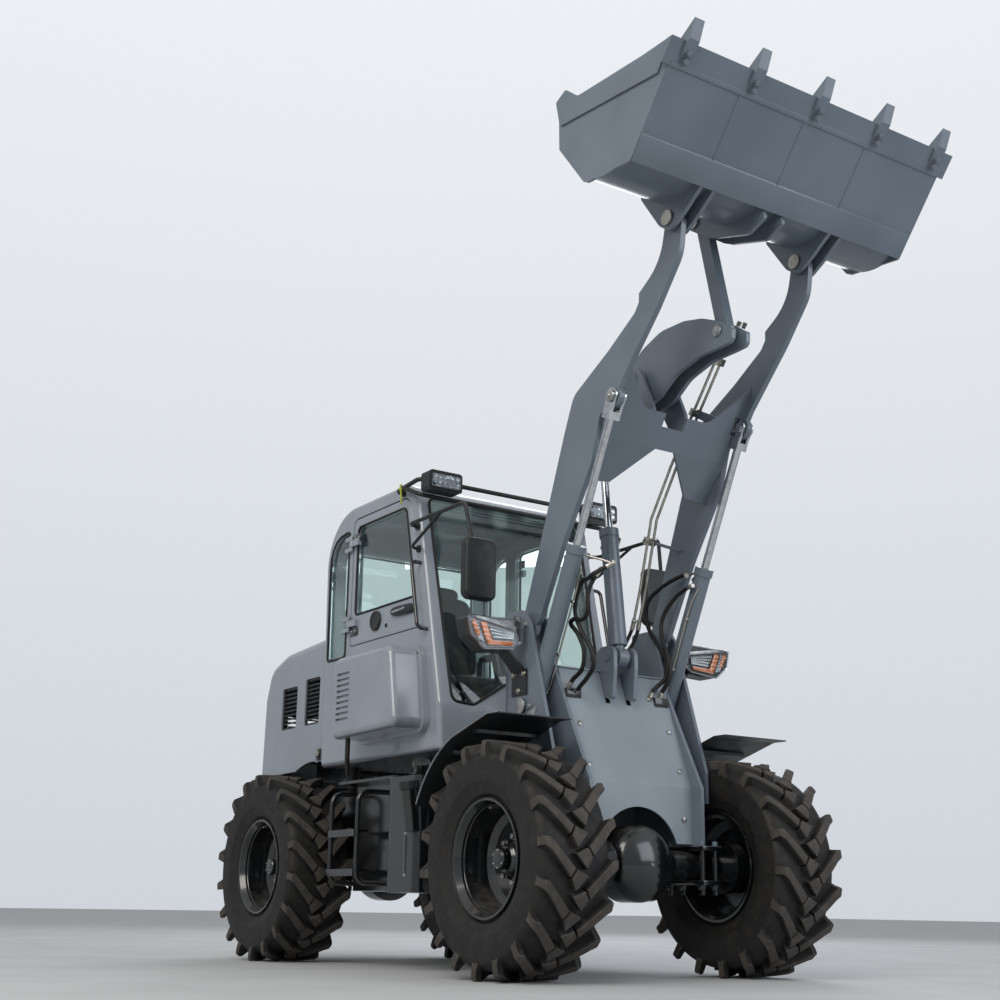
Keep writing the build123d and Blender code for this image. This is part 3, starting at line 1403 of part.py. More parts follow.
def door_knuckles(side, outward, z_low, z_high):
    """Door-side hinge leaves with the middle knuckle."""
    shapes = []
    axis_y = side * (CAB_HALF + outward)
    for z in (z_low, z_high):
        shapes.append(bar((HINGE_X - 5, axis_y, z - 20), (HINGE_X - 5, axis_y, z + 20), 13))
        shapes.append(block(HINGE_X - 5, HINGE_X + 90, side * (CAB_HALF - 2), axis_y + side * 6, z - 20, z + 20))
    return shapes


HINGE_OUT = 16
RIGHT_HINGES = (1950, 2450)
LEFT_HINGES = (1400, 2420)
KNUCKLE_GAP = 2


def cab_shell():
    """Hollow cab: rounded side outline, windows and door openings cut, hinge posts outside."""
    shell = side_plate(CAB_ROWS, -CAB_HALF, CAB_HALF)
    long_edges = [e for e in shell.edges() if abs(e.center().Y) > CAB_HALF - 1 and e.center().Z > CAB_FLOOR_Z + 60]
    shell = fillet(long_edges, 28)
    shell -= side_plate(inset(CAB_ROWS, CAB_WALL), -CAB_HALF + CAB_WALL, CAB_HALF - CAB_WALL)
    mid = CAB_HALF - CAB_WALL - 30
    out = CAB_HALF + 30
    shell -= side_plate(inset(WINDOW_DOOR_ROWS, -DOOR_GAP), -out, -mid)
    shell -= side_plate(inset(FULL_DOOR_ROWS, -DOOR_GAP), mid, out)
    shell -= side_plate(QUARTER_ROWS, -out, out)
    shell -= front_plate(WINDSCREEN_ROWS, -1300, -800)
    shell -= front_plate(REAR_WINDOW_ROWS, -2400, -2080)
    for side, heights in ((-1, RIGHT_HINGES), (1, LEFT_HINGES)):
        shell = shell.fuse(*hinge_posts(side, HINGE_OUT, heights[0], heights[1], KNUCKLE_GAP))
    return shell


def cab_glass():
    """Fixed panes: windscreen, rear window and the two rear quarter windows."""
    depth = 14
    outer = side_plate(inset(CAB_ROWS, depth), -CAB_HALF, CAB_HALF)
    band = outer - side_plate(inset(CAB_ROWS, depth + GLASS), -CAB_HALF - 5, CAB_HALF + 5)
    screen = band & front_plate(inset(WINDSCREEN_ROWS, RUN_GAP), -1300, -800)
    rear = band & front_plate(inset(REAR_WINDOW_ROWS, RUN_GAP), -2400, -2080)
    rows = inset(QUARTER_ROWS, RUN_GAP)
    right = side_plate(rows, -CAB_HALF + depth, -CAB_HALF + depth + GLASS)
    return Compound([screen, rear, right, mirror(right, about=Plane.XZ)])


def door(rows, glass_rows, side, heights):
    """Door frame of the cab wall's thickness with its window cut and hinge knuckles."""
    low, high = sorted((side * CAB_HALF, side * (CAB_HALF - CAB_WALL)))
    panel = side_plate(rows, low, high)
    outer_edges = [e for e in panel.edges() if abs(abs(e.center().Y) - CAB_HALF) < 0.5]
    panel = fillet(outer_edges, 6)
    panel -= side_plate(glass_rows, low - 10, high + 10)
    return panel.fuse(*door_knuckles(side, HINGE_OUT, heights[0], heights[1]))


def door_pane(glass_rows, side):
    """Glass of a door, set back from its outer face."""
    low, high = sorted((side * (CAB_HALF - 14), side * (CAB_HALF - 14 - GLASS)))
    return side_plate(inset(glass_rows, RUN_GAP), low, high)


def seat():
    """Driver's seat: pedestal, cushion and back."""
    floor = CAB_FLOOR_Z + CAB_WALL + RUN_GAP
    shape = block(-1800, -1500, -190, 190, floor, 1530)
    cushion = fillet(block(-1900, -1400, -250, 250, 1520, 1640).edges(), 40)
    back_rows = [(-1880, 1600, 20), (-1990, 2230, 40), (-1890, 2250, 40), (-1770, 1620, 20)]
    back = side_plate(back_rows, -240, 240)
    back = fillet([e for e in back.edges() if abs(abs(e.center().Y) - 240) < 1], 18)
    shape = shape + cushion + back
    for side in (-1, 1):
        shape += block(-1860, -1480, side * 285 - 35, side * 285 + 35, 1790, 1840)
        shape += block(-1860, -1800, side * 275 - 45, side * 275 + 25, 1700, 1800)
    return shape


def steering_console():
    """Steering column and wheel, with a side console and its joystick."""
    floor = CAB_FLOOR_Z + CAB_WALL + RUN_GAP
    shape = block(-1180, -1060, -90, 90, floor, 1420)
    shape += bar((-1120, 0, 1400), (-1270, 0, 1830), 38)
    lean = Plane(origin=(-1277, 0, 1850), z_dir=(-150, 0, 430))
    wheel = fillet((Cylinder(190, 26) - Cylinder(165, 40)).edges().filter_by(GeomType.CIRCLE), 8)
    for turn in (90, 210, 330):
        wheel += bar((0, 0, 0), (172 * cos(radians(turn)), 172 * sin(radians(turn)), 0), 10)
    shape += lean * wheel
    side = block(-1850, -1350, -520, -370, floor, 1620)
    side += bar((-1440, -440, 1600), (-1420, -440, 1800), 14)
    side += Pos(-1418, -440, 1820) * Sphere(32)
    return Compound([shape, side])


def pod():
    """Air-conditioning pod on the right-hand cab wall, with a flange and a louvred rear part."""
    face = CAB_HALF + RUN_GAP
    rows = [
        (-1711, 1225, 50),
        (-1711, 1690, 60),
        (-1060, 1690, 60),
        (-979, 1240, 50),
    ]
    body = side_plate(rows, -820, -face)
    edges = [e for e in body.edges() if abs(e.center().Y + 820) < 1]
    body = fillet(edges, 35)
    flange = side_plate(inset(rows, -18), -640, -face)
    shape = body + flange
    slot_half = 7
    for i in range(9):
        z = 1330 + i * 32
        shape -= block(-1650, -1500, -830, -806, z - slot_half, z + slot_half)
    return shape


def drain_hose():
    """Black drain hose below the pod."""
    return bent_tube([(-1600, -760, 1226), (-1600, -760, 1120), (-1640, -730, 1030)], 40, 14)


def mirror_set():
    """Right-hand mirror on its tube arm from the cab's corner."""
    face = CAB_HALF + RUN_GAP
    arm = bent_tube(
        [(-1160, -face, 2400), (-1160, -665, 2400), (-560, -665, 2400), (-505, -640, 2130)],
        50,
        11,
    )
    arm += bent_tube([(-1140, -face, 2265), (-1140, -655, 2265), (-800, -665, 2400)], 35, 9)
    for x, z in ((-1160, 2400), (-1140, 2265)):
        arm += bar((x, -face, z), (x, -face - 10, z), 22)
    rows = [(-700, 1865, 40), (-700, 2195, 40), (-505, 2195, 40), (-505, 1865, 40)]
    head = front_plate(rows, -530, -480)
    edges = [e for e in head.edges() if abs(e.center().X + 480) < 1]
    head = fillet(edges, 18)
    return arm + head


def roof_lights():
    """Tube rack across the cab's brow with two work lamps."""
    face = CAB_HALF + RUN_GAP
    top = bent_tube(
        [
            (-1330, -face, 2634),
            (-1330, -652, 2634),
            (-1075, -652, 2656),
            (-1075, 652, 2656),
            (-1330, 652, 2634),
            (-1330, face, 2634),
        ],
        34,
        13,
    )
    low = bent_tube([(-1250, -652, 2642), (-1062, -652, 2560), (-1062, 652, 2560), (-1250, 652, 2642)], 50, 13)
    shape = top + low
    for side in (-1, 1):
        lamp = block(-1035, -941, side * 555 - 108, side * 555 + 108, 2566, 2680)
        lamp = fillet(lamp.edges().filter_by(Axis.X), 20)
        shape += lamp
        shape += block(-1080, -1030, side * 555 - 25, side * 555 + 25, 2590, 2650)
        shape += bar((-1330, side * face, 2634), (-1330, side * (face + 10), 2634), 21)
    return shape


def grab_handle():
    """U-shaped handle ahead of the right front pillar."""
    face = CAB_HALF + RUN_GAP
    bend = [(-1115, -face, 2180), (-1115, -665, 2180), (-1025, -665, 1790), (-1025, -face, 1790)]
    return bent_tube(bend, 30, 11)


def build_cab():
    """Cab, its doors and glass, what stands in it and what hangs on it."""
    emit("cab_shell", cab_shell())
    emit("cab_glass", cab_glass())
    emit("door_right", door(WINDOW_DOOR_ROWS, WINDOW_DOOR_GLASS, -1, RIGHT_HINGES))
    emit("door_right_glass", door_pane(WINDOW_DOOR_GLASS, -1))
    emit("door_left", door(FULL_DOOR_ROWS, FULL_DOOR_GLASS, 1, LEFT_HINGES))
    emit("door_left_glass", door_pane(FULL_DOOR_GLASS, 1))
    emit("seat", seat())
    emit("steering_console", steering_console())
    emit("ac_pod", pod())
    emit("drain_hose", drain_hose())
    emit("mirrors", both_sides(mirror_set()))
    emit("roof_lights", roof_lights())
    emit("grab_handles", both_sides(grab_handle()))


# Hood

HOOD_ROWS = [
    (HOOD_FRONT, HOOD_BOTTOM, 0),
    (HOOD_FRONT, 1950, 40),
    (-2950, 1915, 300),
    (-3180, 1840, 150),
    (-3250, 1640, 150),
    (HOOD_REAR, HOOD_BOTTOM, 0),
]
# Grille windows, rows (x from, x to, z from, z to)
GRILLES = [(-2965, -2745, 1410, 1680), (-2630, -2425, 1410, 1705)]
REAR_GRILLE = (1240, 1560, 380)
GRILLE_CORNER = 20


def box_rows(low_a, high_a, low_b, high_b, corner):
    """Rows of a rectangle with one corner radius."""
    return [(low_a, low_b, corner), (low_a, high_b, corner), (high_a, high_b, corner), (high_a, low_b, corner)]


def hood():
    """Hood shell with an open bottom, wheel arches, grille windows and a rear grille opening."""
    shell = side_plate(HOOD_ROWS, -HOOD_HALF, HOOD_HALF)
    edges = [e for e in shell.edges() if abs(abs(e.center().Y) - HOOD_HALF) < 1 and e.center().Z > 1700]
    shell = fillet(edges, 55)
    inner = inset(HOOD_ROWS, HOOD_WALL)
    half = HOOD_HALF - HOOD_WALL
    shell -= side_plate(inner, -half, half)
    shell -= block(HOOD_REAR + HOOD_WALL + 1, HOOD_FRONT - HOOD_WALL, -half, half, 1100, 1200)
    arch = TYRE_RADIUS + 102
    shell -= bar((-WHEELBASE, -600, TYRE_RADIUS), (-WHEELBASE, 600, TYRE_RADIUS), arch)
    for x0, x1, z0, z1 in GRILLES:
        shell -= side_plate(box_rows(x0, x1, z0, z1, GRILLE_CORNER), -HOOD_HALF - 5, HOOD_HALF + 5)
    z0, z1, reach = REAR_GRILLE
    shell -= front_plate(box_rows(-reach, reach, z0, z1, GRILLE_CORNER), HOOD_REAR - 5, HOOD_REAR + 60)
    for y, radius in ((-STACK_Y, CLEANER_NECK), (STACK_Y, EXHAUST_RADIUS)):
        shell -= bar((STACK_X, y, 1880), (STACK_X, y, 1990), radius + RUN_GAP)
    return shell


def slatted(x0, x1, z0, z1):
    """Right-hand grille: a frame with slats, just inside the hood's wall."""
    out = HOOD_HALF - 10
    depth = 10
    gap = RUN_GAP
    rows = box_rows(x0 + gap, x1 - gap, z0 + gap, z1 - gap, GRILLE_CORNER - gap)
    frame = side_plate(rows, -out, -out + depth)
    frame -= block(x0 + 14, x1 - 14, -out - 5, -out + depth + 5, z0 + 14, z1 - 14)
    count = int((z1 - z0 - 28) / 26)
    pitch = (z1 - z0 - 28) / count
    slats = []
    for i in range(1, count):
        z = z0 + 14 + i * pitch
        slats.append(block(x0 + 8, x1 - 8, -out + 2, -out + depth - 2, z - 5, z + 5))
    return frame.fuse(*slats)


def hood_grilles():
    """Side and rear grilles of the hood."""
    grilles = []
    for window in GRILLES:
        right = slatted(*window)
        grilles += [right, mirror(right, about=Plane.XZ)]
    z0, z1, reach = REAR_GRILLE
    x = HOOD_REAR + 8
    gap = RUN_GAP
    rows = box_rows(-reach + gap, reach - gap, z0 + gap, z1 - gap, GRILLE_CORNER - gap)
    frame = front_plate(rows, x, x + 12)
    frame -= block(x - 5, x + 17, -reach + 16, reach - 16, z0 + 16, z1 - 16)
    slats = [block(x + 2, x + 10, -reach + 8, reach - 8, z - 5, z + 5) for z in range(z0 + 42, z1 - 20, 28)]
    grilles.append(frame.fuse(*slats))
    return Compound(grilles)


def intake_and_exhaust():
    """Pre-cleaner and exhaust stack, each passed through a bore in the hood's top."""
    top = 1940
    cleaner = bar((STACK_X, -STACK_Y, top - 34), (STACK_X, -STACK_Y, top + 90), CLEANER_NECK)
    cleaner += bar((STACK_X, -STACK_Y, top + 86), (STACK_X, -STACK_Y, top + 210), CLEANER_NECK + 40)
    cleaner += bar((STACK_X, -STACK_Y, top + 205), (STACK_X, -STACK_Y, top + 236), CLEANER_NECK + 12)
    stack = bar((STACK_X, STACK_Y, top - 34), (STACK_X, STACK_Y, top + 310), EXHAUST_RADIUS)
    stack -= bar((STACK_X, STACK_Y, top + 190), (STACK_X, STACK_Y, top + 320), EXHAUST_RADIUS - 4)
    return Compound([cleaner, stack])


def build_hood():
    """Hood and what it carries."""
    emit("hood", hood())
    emit("hood_grilles", hood_grilles())
    emit("intake_and_exhaust", intake_and_exhaust())


build_wheels()
build_axles()
build_front()
build_loader()
build_cylinders()
build_rear()
build_cab()
build_hood()
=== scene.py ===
"""Articulated wheel loader, dressed: stage, light, camera, finishes and the small pieces."""

import json
import logging
import math
from dataclasses import dataclass
from enum import Enum
from typing import Callable, Optional, Sequence

import bmesh
import bpy
import numpy as np
from mathutils import Matrix, Vector


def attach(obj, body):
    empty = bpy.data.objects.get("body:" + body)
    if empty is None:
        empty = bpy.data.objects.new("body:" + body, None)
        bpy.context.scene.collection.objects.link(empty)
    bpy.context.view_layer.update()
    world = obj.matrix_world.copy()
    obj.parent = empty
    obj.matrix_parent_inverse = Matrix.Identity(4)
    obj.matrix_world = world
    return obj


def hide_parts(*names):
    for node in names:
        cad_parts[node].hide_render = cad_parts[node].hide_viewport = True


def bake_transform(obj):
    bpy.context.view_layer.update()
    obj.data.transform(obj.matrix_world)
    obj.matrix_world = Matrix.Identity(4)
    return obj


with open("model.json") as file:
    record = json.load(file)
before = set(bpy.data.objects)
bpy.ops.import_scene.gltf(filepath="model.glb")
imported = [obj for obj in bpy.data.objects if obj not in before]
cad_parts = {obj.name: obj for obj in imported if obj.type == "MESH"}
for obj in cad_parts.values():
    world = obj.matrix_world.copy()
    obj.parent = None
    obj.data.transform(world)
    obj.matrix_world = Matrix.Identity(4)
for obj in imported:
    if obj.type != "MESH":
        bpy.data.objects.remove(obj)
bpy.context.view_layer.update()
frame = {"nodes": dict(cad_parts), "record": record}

LOG = logging.getLogger("loader")

Piece = bpy.types.Object
Socket = bpy.types.NodeSocket
Point = Sequence[float]
Rows = Sequence[Sequence[float]]
Placer = Callable[[np.ndarray], np.ndarray]

# Side-view figures of the source are given from the front axle; the shared frame starts mid-machine.
SHIFT = 0.88795
# Half the track and the height of the axles, in millimetres
HALF_TRACK = 702.0
AXLE_HEIGHT = 538.0
# How far a seated piece reaches into what carries it, in metres
SEAT = 0.0003
# Half width of a mesh's pole, in metres, small enough to look like a point
POLE = 1e-5


class Side(Enum):
    """The machine's two sides, by the sign of Y."""

    RIGHT = -1
    LEFT = 1

    @property
    def label(self) -> str:
        """The side's name as the pieces carry it."""
        return self.name.lower()

    def flipped(self, rows: Rows) -> list[tuple[float, float, float]]:
        """An outline (y, z, radius) drawn for the right-hand side, on this side."""
        return [(-self.value * u, v, r) for u, v, r in rows]


# ---- Geometry worked out with numpy


def surface(name: str, points: np.ndarray, close_u: bool = False, close_v: bool = False) -> Piece:
    """Mesh of a grid of points, a function of two parameters.

    Args:
        name: the piece's name.
        points: array (rows, columns, 3) of places in metres.
        close_u: joins the last row to the first.
        close_v: joins the last column to the first.

    Returns:
        The new object, at the world's origin.
    """
    rows, cols = points.shape[:2]
    index = np.arange(rows * cols).reshape(rows, cols)
    up = np.roll(index, -1, 0) if close_u else index[1:]
    low = index if close_u else index[:-1]
    if close_v:
        quads = np.stack([low, np.roll(low, -1, 1), np.roll(up, -1, 1), up], -1)
    else:
        quads = np.stack([low[:, :-1], low[:, 1:], up[:, 1:], up[:, :-1]], -1)
    return solid(name, points.reshape(-1, 3), [quads.reshape(-1, 4)])


def solid(name: str, places: np.ndarray, faces: Sequence[np.ndarray], smooth: bool = True) -> Piece:
    """Mesh of places and faces.

    Args:
        name: the piece's name.
        places: array (count, 3) in metres.
        faces: arrays of vertex numbers, one array for each number of corners.
        smooth: shades the faces smoothly where the angle is small.

    Returns:
        The new object, at the world's origin.
    """
    mesh = bpy.data.meshes.new(name)
    counts = np.concatenate([np.full(len(f), f.shape[1]) for f in faces]).astype(np.int32)
    loops = np.concatenate([f.reshape(-1) for f in faces]).astype(np.int32)
    mesh.vertices.add(len(places))
    mesh.vertices.foreach_set("co", np.ascontiguousarray(places, np.float32).reshape(-1))
    mesh.loops.add(len(loops))
    mesh.loops.foreach_set("vertex_index", loops)
    mesh.polygons.add(len(counts))
    starts = np.concatenate([[0], np.cumsum(counts)[:-1]]).astype(np.int32)
    mesh.polygons.foreach_set("loop_start", starts)
    mesh.polygons.foreach_set("loop_total", counts)
    mesh.update(calc_edges=True)
    mesh.validate()
    if smooth:
        mesh.shade_smooth()
        mesh.set_sharp_from_angle(angle=math.radians(38))
    piece = bpy.data.objects.new(name, mesh)
    bpy.context.scene.collection.objects.link(piece)
    return piece


def frames_along(path: np.ndarray, closed: bool = False) -> tuple[np.ndarray, np.ndarray]:
    """Crosswise directions of a path: a fixed axis less its part along the path, and their cross product.

    Args:
        path: array (count, 3) of places.
        closed: joins the last place to the first.

    Returns:
        Two arrays of unit vectors, both square to the path and to each other.
    """
    if closed:
        ahead = np.roll(path, -1, 0) - np.roll(path, 1, 0)
    else:
        ahead = np.gradient(path, axis=0)
    ahead = ahead / np.linalg.norm(ahead, axis=1, keepdims=True)
    spread = np.ptp(path, axis=0)
    start = np.eye(3)[int(np.argmin(spread + 1e-6 * np.abs(ahead[0])))]
    side = start - ahead * (ahead @ start)[:, None]
    side = side / np.linalg.norm(side, axis=1, keepdims=True)
    return side, np.cross(ahead, side)


def tube_points(path: np.ndarray, radius: np.ndarray | float, sides: int, closed: bool) -> np.ndarray:
    """Grid of a round profile carried along a path: centre + radius (cos t, sin t).

    Args:
        path: array (count, 3) of places in metres.
        radius: one radius in metres, or one for each place.
        sides: places around the profile.
        closed: joins the last profile to the first.

    Returns:
        Array (count, sides, 3) of places.
    """
    side, rise = frames_along(path, closed)
    turn = np.linspace(0, 2 * np.pi, sides, endpoint=False)
    size = np.broadcast_to(np.asarray(radius, float), (len(path),))[:, None, None]
    ring = side[:, None] * np.cos(turn)[None, :, None] + rise[:, None] * np.sin(turn)[None, :, None]
    return path[:, None] + ring * size


def tube(
    name: str, path: np.ndarray, radius: np.ndarray | float, sides: int = 12, closed: bool = False
) -> Piece:
    """Tube along a path, its open ends drawn in to a point so that the mesh is closed.

    Args:
        name: the piece's name.
        path: array (count, 3) of places in metres.
        radius: one radius in metres, or one for each place.
        sides: faces around the tube.
        closed: joins the end to the start.

    Returns:
        The new object.
    """
    if not closed:
        size = np.broadcast_to(np.asarray(radius, float), (len(path),))
        path = np.concatenate([path[:1], path, path[-1:]])
        path[0] = path[1] - (path[2] - path[1]) * 1e-4
        path[-1] = path[-2] + (path[-2] - path[-3]) * 1e-4
        radius = np.concatenate([[POLE], size, [POLE]])
    return surface(name, tube_points(path, radius, sides, closed), close_u=closed, close_v=True)


def smooth_path(points: Rows, count: int = 48) -> np.ndarray:
    """Points of a Catmull-Rom curve: a cubic between each pair, its slope from the neighbours.

    Args:
        points: places that the curve goes through.
        count: how many points to work out.

    Returns:
        Array (count, 3) of places.
    """
    ctrl = np.asarray(points, float)
    ctrl = np.concatenate([2 * ctrl[:1] - ctrl[1:2], ctrl, 2 * ctrl[-1:] - ctrl[-2:-1]])
    place = np.linspace(0, len(ctrl) - 3 - 1e-9, count)
    k = place.astype(int)
    t = (place - k)[:, None]
    a, b, c, d = (ctrl[k + i] for i in range(4))
    cubic = (3 * b - a - 3 * c + d) * t**3
    return 0.5 * (2 * b + (c - a) * t + (2 * a - 5 * b + 4 * c - d) * t**2 + cubic)


def turned_points(profile: Rows, centre: Point, axis: Point, sides: int = 48) -> np.ndarray:
    """Grid of a profile turned about an axis: centre + along the axis + radius (cos t, sin t).

    Args:
        profile: rows (along the axis, radius) in metres.
        centre: place of the profile's zero.
        axis: direction of the axis.
        sides: places around the axis.

    Returns:
        Array (rows, sides, 3) of places.
    """
    rows = np.asarray(profile, float)
    along = np.asarray(Vector(axis).normalized())
    side = np.asarray(Vector(axis).orthogonal().normalized())
    rise = np.cross(along, side)
    turn = np.linspace(0, 2 * np.pi, sides, endpoint=False)
    ring = side[None] * np.cos(turn)[:, None] + rise[None] * np.sin(turn)[:, None]
    middle = np.asarray(centre)[None, None]
    return middle + rows[:, 0, None, None] * along + rows[:, 1, None, None] * ring[None]


def turned(name: str, profile: Rows, centre: Point, axis: Point, sides: int = 48) -> Piece:
    """Closed piece turned from a profile, its ends drawn in to the axis.

    Args:
        name: the piece's name.
        profile: rows (along the axis, radius) in metres.
        centre: place of the profile's zero.
        axis: direction of the axis.
        sides: faces around the axis.

    Returns:
        The new object.
    """
    rows = [(profile[0][0], POLE), *profile, (profile[-1][0], POLE)]
    return surface(name, turned_points(rows, centre, axis, sides), close_v=True)


def ring(name: str, profile: Rows, centre: Point, axis: Point, sides: int) -> Piece:
    """Ring turned from a closed profile that stays clear of the axis.

    Args:
        name: the piece's name.
        profile: rows (along the axis, radius) in metres.
        centre: place of the profile's zero.
        axis: direction of the axis.
        sides: faces around the axis.

    Returns:
        The new object, its faces outwards.
    """
    return outward(surface(name, turned_points(profile, centre, axis, sides), close_u=True, close_v=True))


def joined(name: str, parts: Sequence[Piece]) -> Piece:
    """One object made of several, whose own objects go.

    Args:
        name: the piece's name.
        parts: the objects to join.

    Returns:
        The new object.
    """
    places, faces, base = [], {}, 0
    for part in parts:
        mesh = part.data
        co = np.empty(len(mesh.vertices) * 3, np.float32)
        mesh.vertices.foreach_get("co", co)
        places.append(co.reshape(-1, 3))
        total = np.empty(len(mesh.polygons), np.int32)
        mesh.polygons.foreach_get("loop_total", total)
        loops = np.empty(len(mesh.loops), np.int32)
        mesh.loops.foreach_get("vertex_index", loops)
        starts = np.concatenate([[0], np.cumsum(total)[:-1]])
        for corners in np.unique(total):
            picked = starts[total == corners][:, None] + np.arange(corners)[None]
            faces.setdefault(int(corners), []).append(loops[picked] + base)
        base += len(places[-1])
        bpy.data.objects.remove(part)
        bpy.data.meshes.remove(mesh)
    return solid(name, np.concatenate(places), [np.concatenate(f) for f in faces.values()])


def outward(piece: Piece) -> Piece:
    """Turns every face of a closed piece outwards.

    Args:
        piece: the piece to mend.

    Returns:
        The same piece.
    """
    work = bmesh.new()
    work.from_mesh(piece.data)
    bmesh.ops.recalc_face_normals(work, faces=work.faces)
    work.to_mesh(piece.data)
    work.free()
    return piece


# ---- Finishes


def colour(code: str) -> tuple[float, float, float, float]:
    """Linear colour of an sRGB hex code.

    Args:
        code: a hash sign and six hex digits.

    Returns:
        Red, green and blue as light, and 1 for full cover.
    """
    values = [int(code[i : i + 2], 16) / 255 for i in (1, 3, 5)]
    linear = [v / 12.92 if v <= 0.04045 else ((v + 0.055) / 1.055) ** 2.4 for v in values]
    return (*linear, 1.0)


def per_mm(size: float) -> float:
    """Texture scale that makes a pattern's features about this many millimetres wide."""
    return 1000.0 / size


def add_node(
    tree: bpy.types.NodeTree,
    kind: str,
    values: Optional[dict] = None,
    links: Optional[dict] = None,
    **settings: object,
) -> bpy.types.Node:
    """Adds a node with its settings, socket values and incoming links.

    Args:
        tree: the node tree.
        kind: the node's type.
        values: socket name or number to value.
        links: socket name or number to the socket that feeds it.
        settings: the node's own properties.

    Returns:
        The new node.
    """
    made = tree.nodes.new(kind)
    for key, value in settings.items():
        setattr(made, key, value)
    for key, value in (values or {}).items():
        made.inputs[key].default_value = value
    for key, socket in (links or {}).items():
        tree.links.new(socket, made.inputs[key])
    return made


@dataclass
class Recipe:
    """A material in the making, with the few steps that most finishes share."""

    name: str

    def __post_init__(self) -> None:
        """Starts an empty material with its shader and object coordinates."""
        self.made = bpy.data.materials.new(self.name)
        self.made.use_nodes = True
        self.tree = self.made.node_tree
        self.tree.nodes.clear()
        self.shader = add_node(self.tree, "ShaderNodeBsdfPrincipled")
        add_node(self.tree, "ShaderNodeOutputMaterial", links={0: self.shader.outputs[0]})
        self.place = add_node(self.tree, "ShaderNodeTexCoord").outputs["Object"]

    def noise(self, size: float, detail: float = 4.0, rough: float = 0.55) -> Socket:
        """Noise with features of a size in millimetres.

        Args:
            size: width of a feature in millimetres.
            detail: how many finer layers lie on it.
            rough: how strong the finer layers are.

        Returns:
            The noise, from 0 to 1.
        """
        values = {"Scale": per_mm(size), "Detail": detail, "Roughness": rough}
        return add_node(self.tree, "ShaderNodeTexNoise", values, {"Vector": self.place}).outputs[0]

    def between(
        self, socket: Socket, low: float, high: float, to_low: float = 0.0, to_high: float = 1.0
    ) -> Socket:
        """Maps a range of a value onto another, held at its ends.

        Args:
            socket: the value.
            low: start of its range.
            high: end of its range.
            to_low: result at the start.
            to_high: result at the end.

        Returns:
            The mapped value.
        """
        values = {"From Min": low, "From Max": high, "To Min": to_low, "To Max": to_high}
        return add_node(self.tree, "ShaderNodeMapRange", values, {"Value": socket}).outputs[0]

    def maths(self, kind: str, a: Socket, b: Socket | float) -> Socket:
        """One arithmetic step.

        Args:
            kind: the operation's name.
            a: the first value.
            b: the second value, a socket or a plain number.

        Returns:
            The result.
        """
        made = add_node(self.tree, "ShaderNodeMath", operation=kind, links={0: a})
        if isinstance(b, (int, float)):
            made.inputs[1].default_value = b
        else:
            self.tree.links.new(b, made.inputs[1])
        return made.outputs[0]

    def mix(self, share: Socket, a: Socket | str, b: Socket | str) -> Socket:
        """Mixes two colours.

        Args:
            share: how much of the second colour, from 0 to 1.
            a: the first colour, a socket or a hex code.
            b: the second colour, a socket or a hex code.

        Returns:
            The mixed colour.
        """
        made = add_node(self.tree, "ShaderNodeMix", data_type="RGBA", links={"Factor": share})
        for key, value in (("A", a), ("B", b)):
            socket = next(s for s in made.inputs if s.name == key and s.type == "RGBA")
            if isinstance(value, str):
                socket.default_value = colour(value)
            else:
                self.tree.links.new(value, socket)
        return next(s for s in made.outputs if s.type == "RGBA")

    def upward(self) -> Socket:
        """How far a face looks up, from -1 to 1."""
        normal = add_node(self.tree, "ShaderNodeNewGeometry").outputs["Normal"]
        return add_node(self.tree, "ShaderNodeSeparateXYZ", links={0: normal}).outputs["Z"]

    def edges(self, radius: float, sharp: float = 0.06) -> Socket:
        """Where the surface turns sharply: one less the dot product of the plain and rounded normals.

        Args:
            radius: reach of the rounding in millimetres.
            sharp: how much the normals differ before it counts.

        Returns:
            The share of edge, from 0 to 1.
        """
        rounded_off = add_node(self.tree, "ShaderNodeBevel", {"Radius": radius / 1000}, samples=4).outputs[0]
        normal = add_node(self.tree, "ShaderNodeNewGeometry").outputs["Normal"]
        links = {0: rounded_off, 1: normal}
        dot = add_node(self.tree, "ShaderNodeVectorMath", operation="DOT_PRODUCT", links=links)
        return self.between(dot.outputs["Value"], 1 - sharp, 1 - 4 * sharp)

    def bump(self, height: Socket, depth: float, soft: float = 0.0) -> None:
        """Gives the shader a bump on softened edges.

        Args:
            height: the pattern, from 0 to 1.
            depth: the bump's depth in millimetres.
            soft: radius in millimetres to which edges are softened.
        """
        values = {"Strength": 1.0, "Distance": depth / 1000}
        made = add_node(self.tree, "ShaderNodeBump", values, {"Height": height})
        if soft:
            softened = add_node(self.tree, "ShaderNodeBevel", {"Radius": soft / 1000}, samples=4)
            self.tree.links.new(softened.outputs[0], made.inputs["Normal"])
        self.tree.links.new(made.outputs[0], self.shader.inputs["Normal"])

    def feed(self, **sockets: Socket) -> None:
        """Links sockets to the shader's inputs, named with underscores for spaces."""
        for key, socket in sockets.items():
            self.tree.links.new(socket, self.shader.inputs[key.replace("_", " ")])

    def set(self, **numbers: object) -> None:
        """Sets plain values on the shader's inputs, named with underscores for spaces."""
        for key, value in numbers.items():
            self.shader.inputs[key.replace("_", " ")].default_value = value


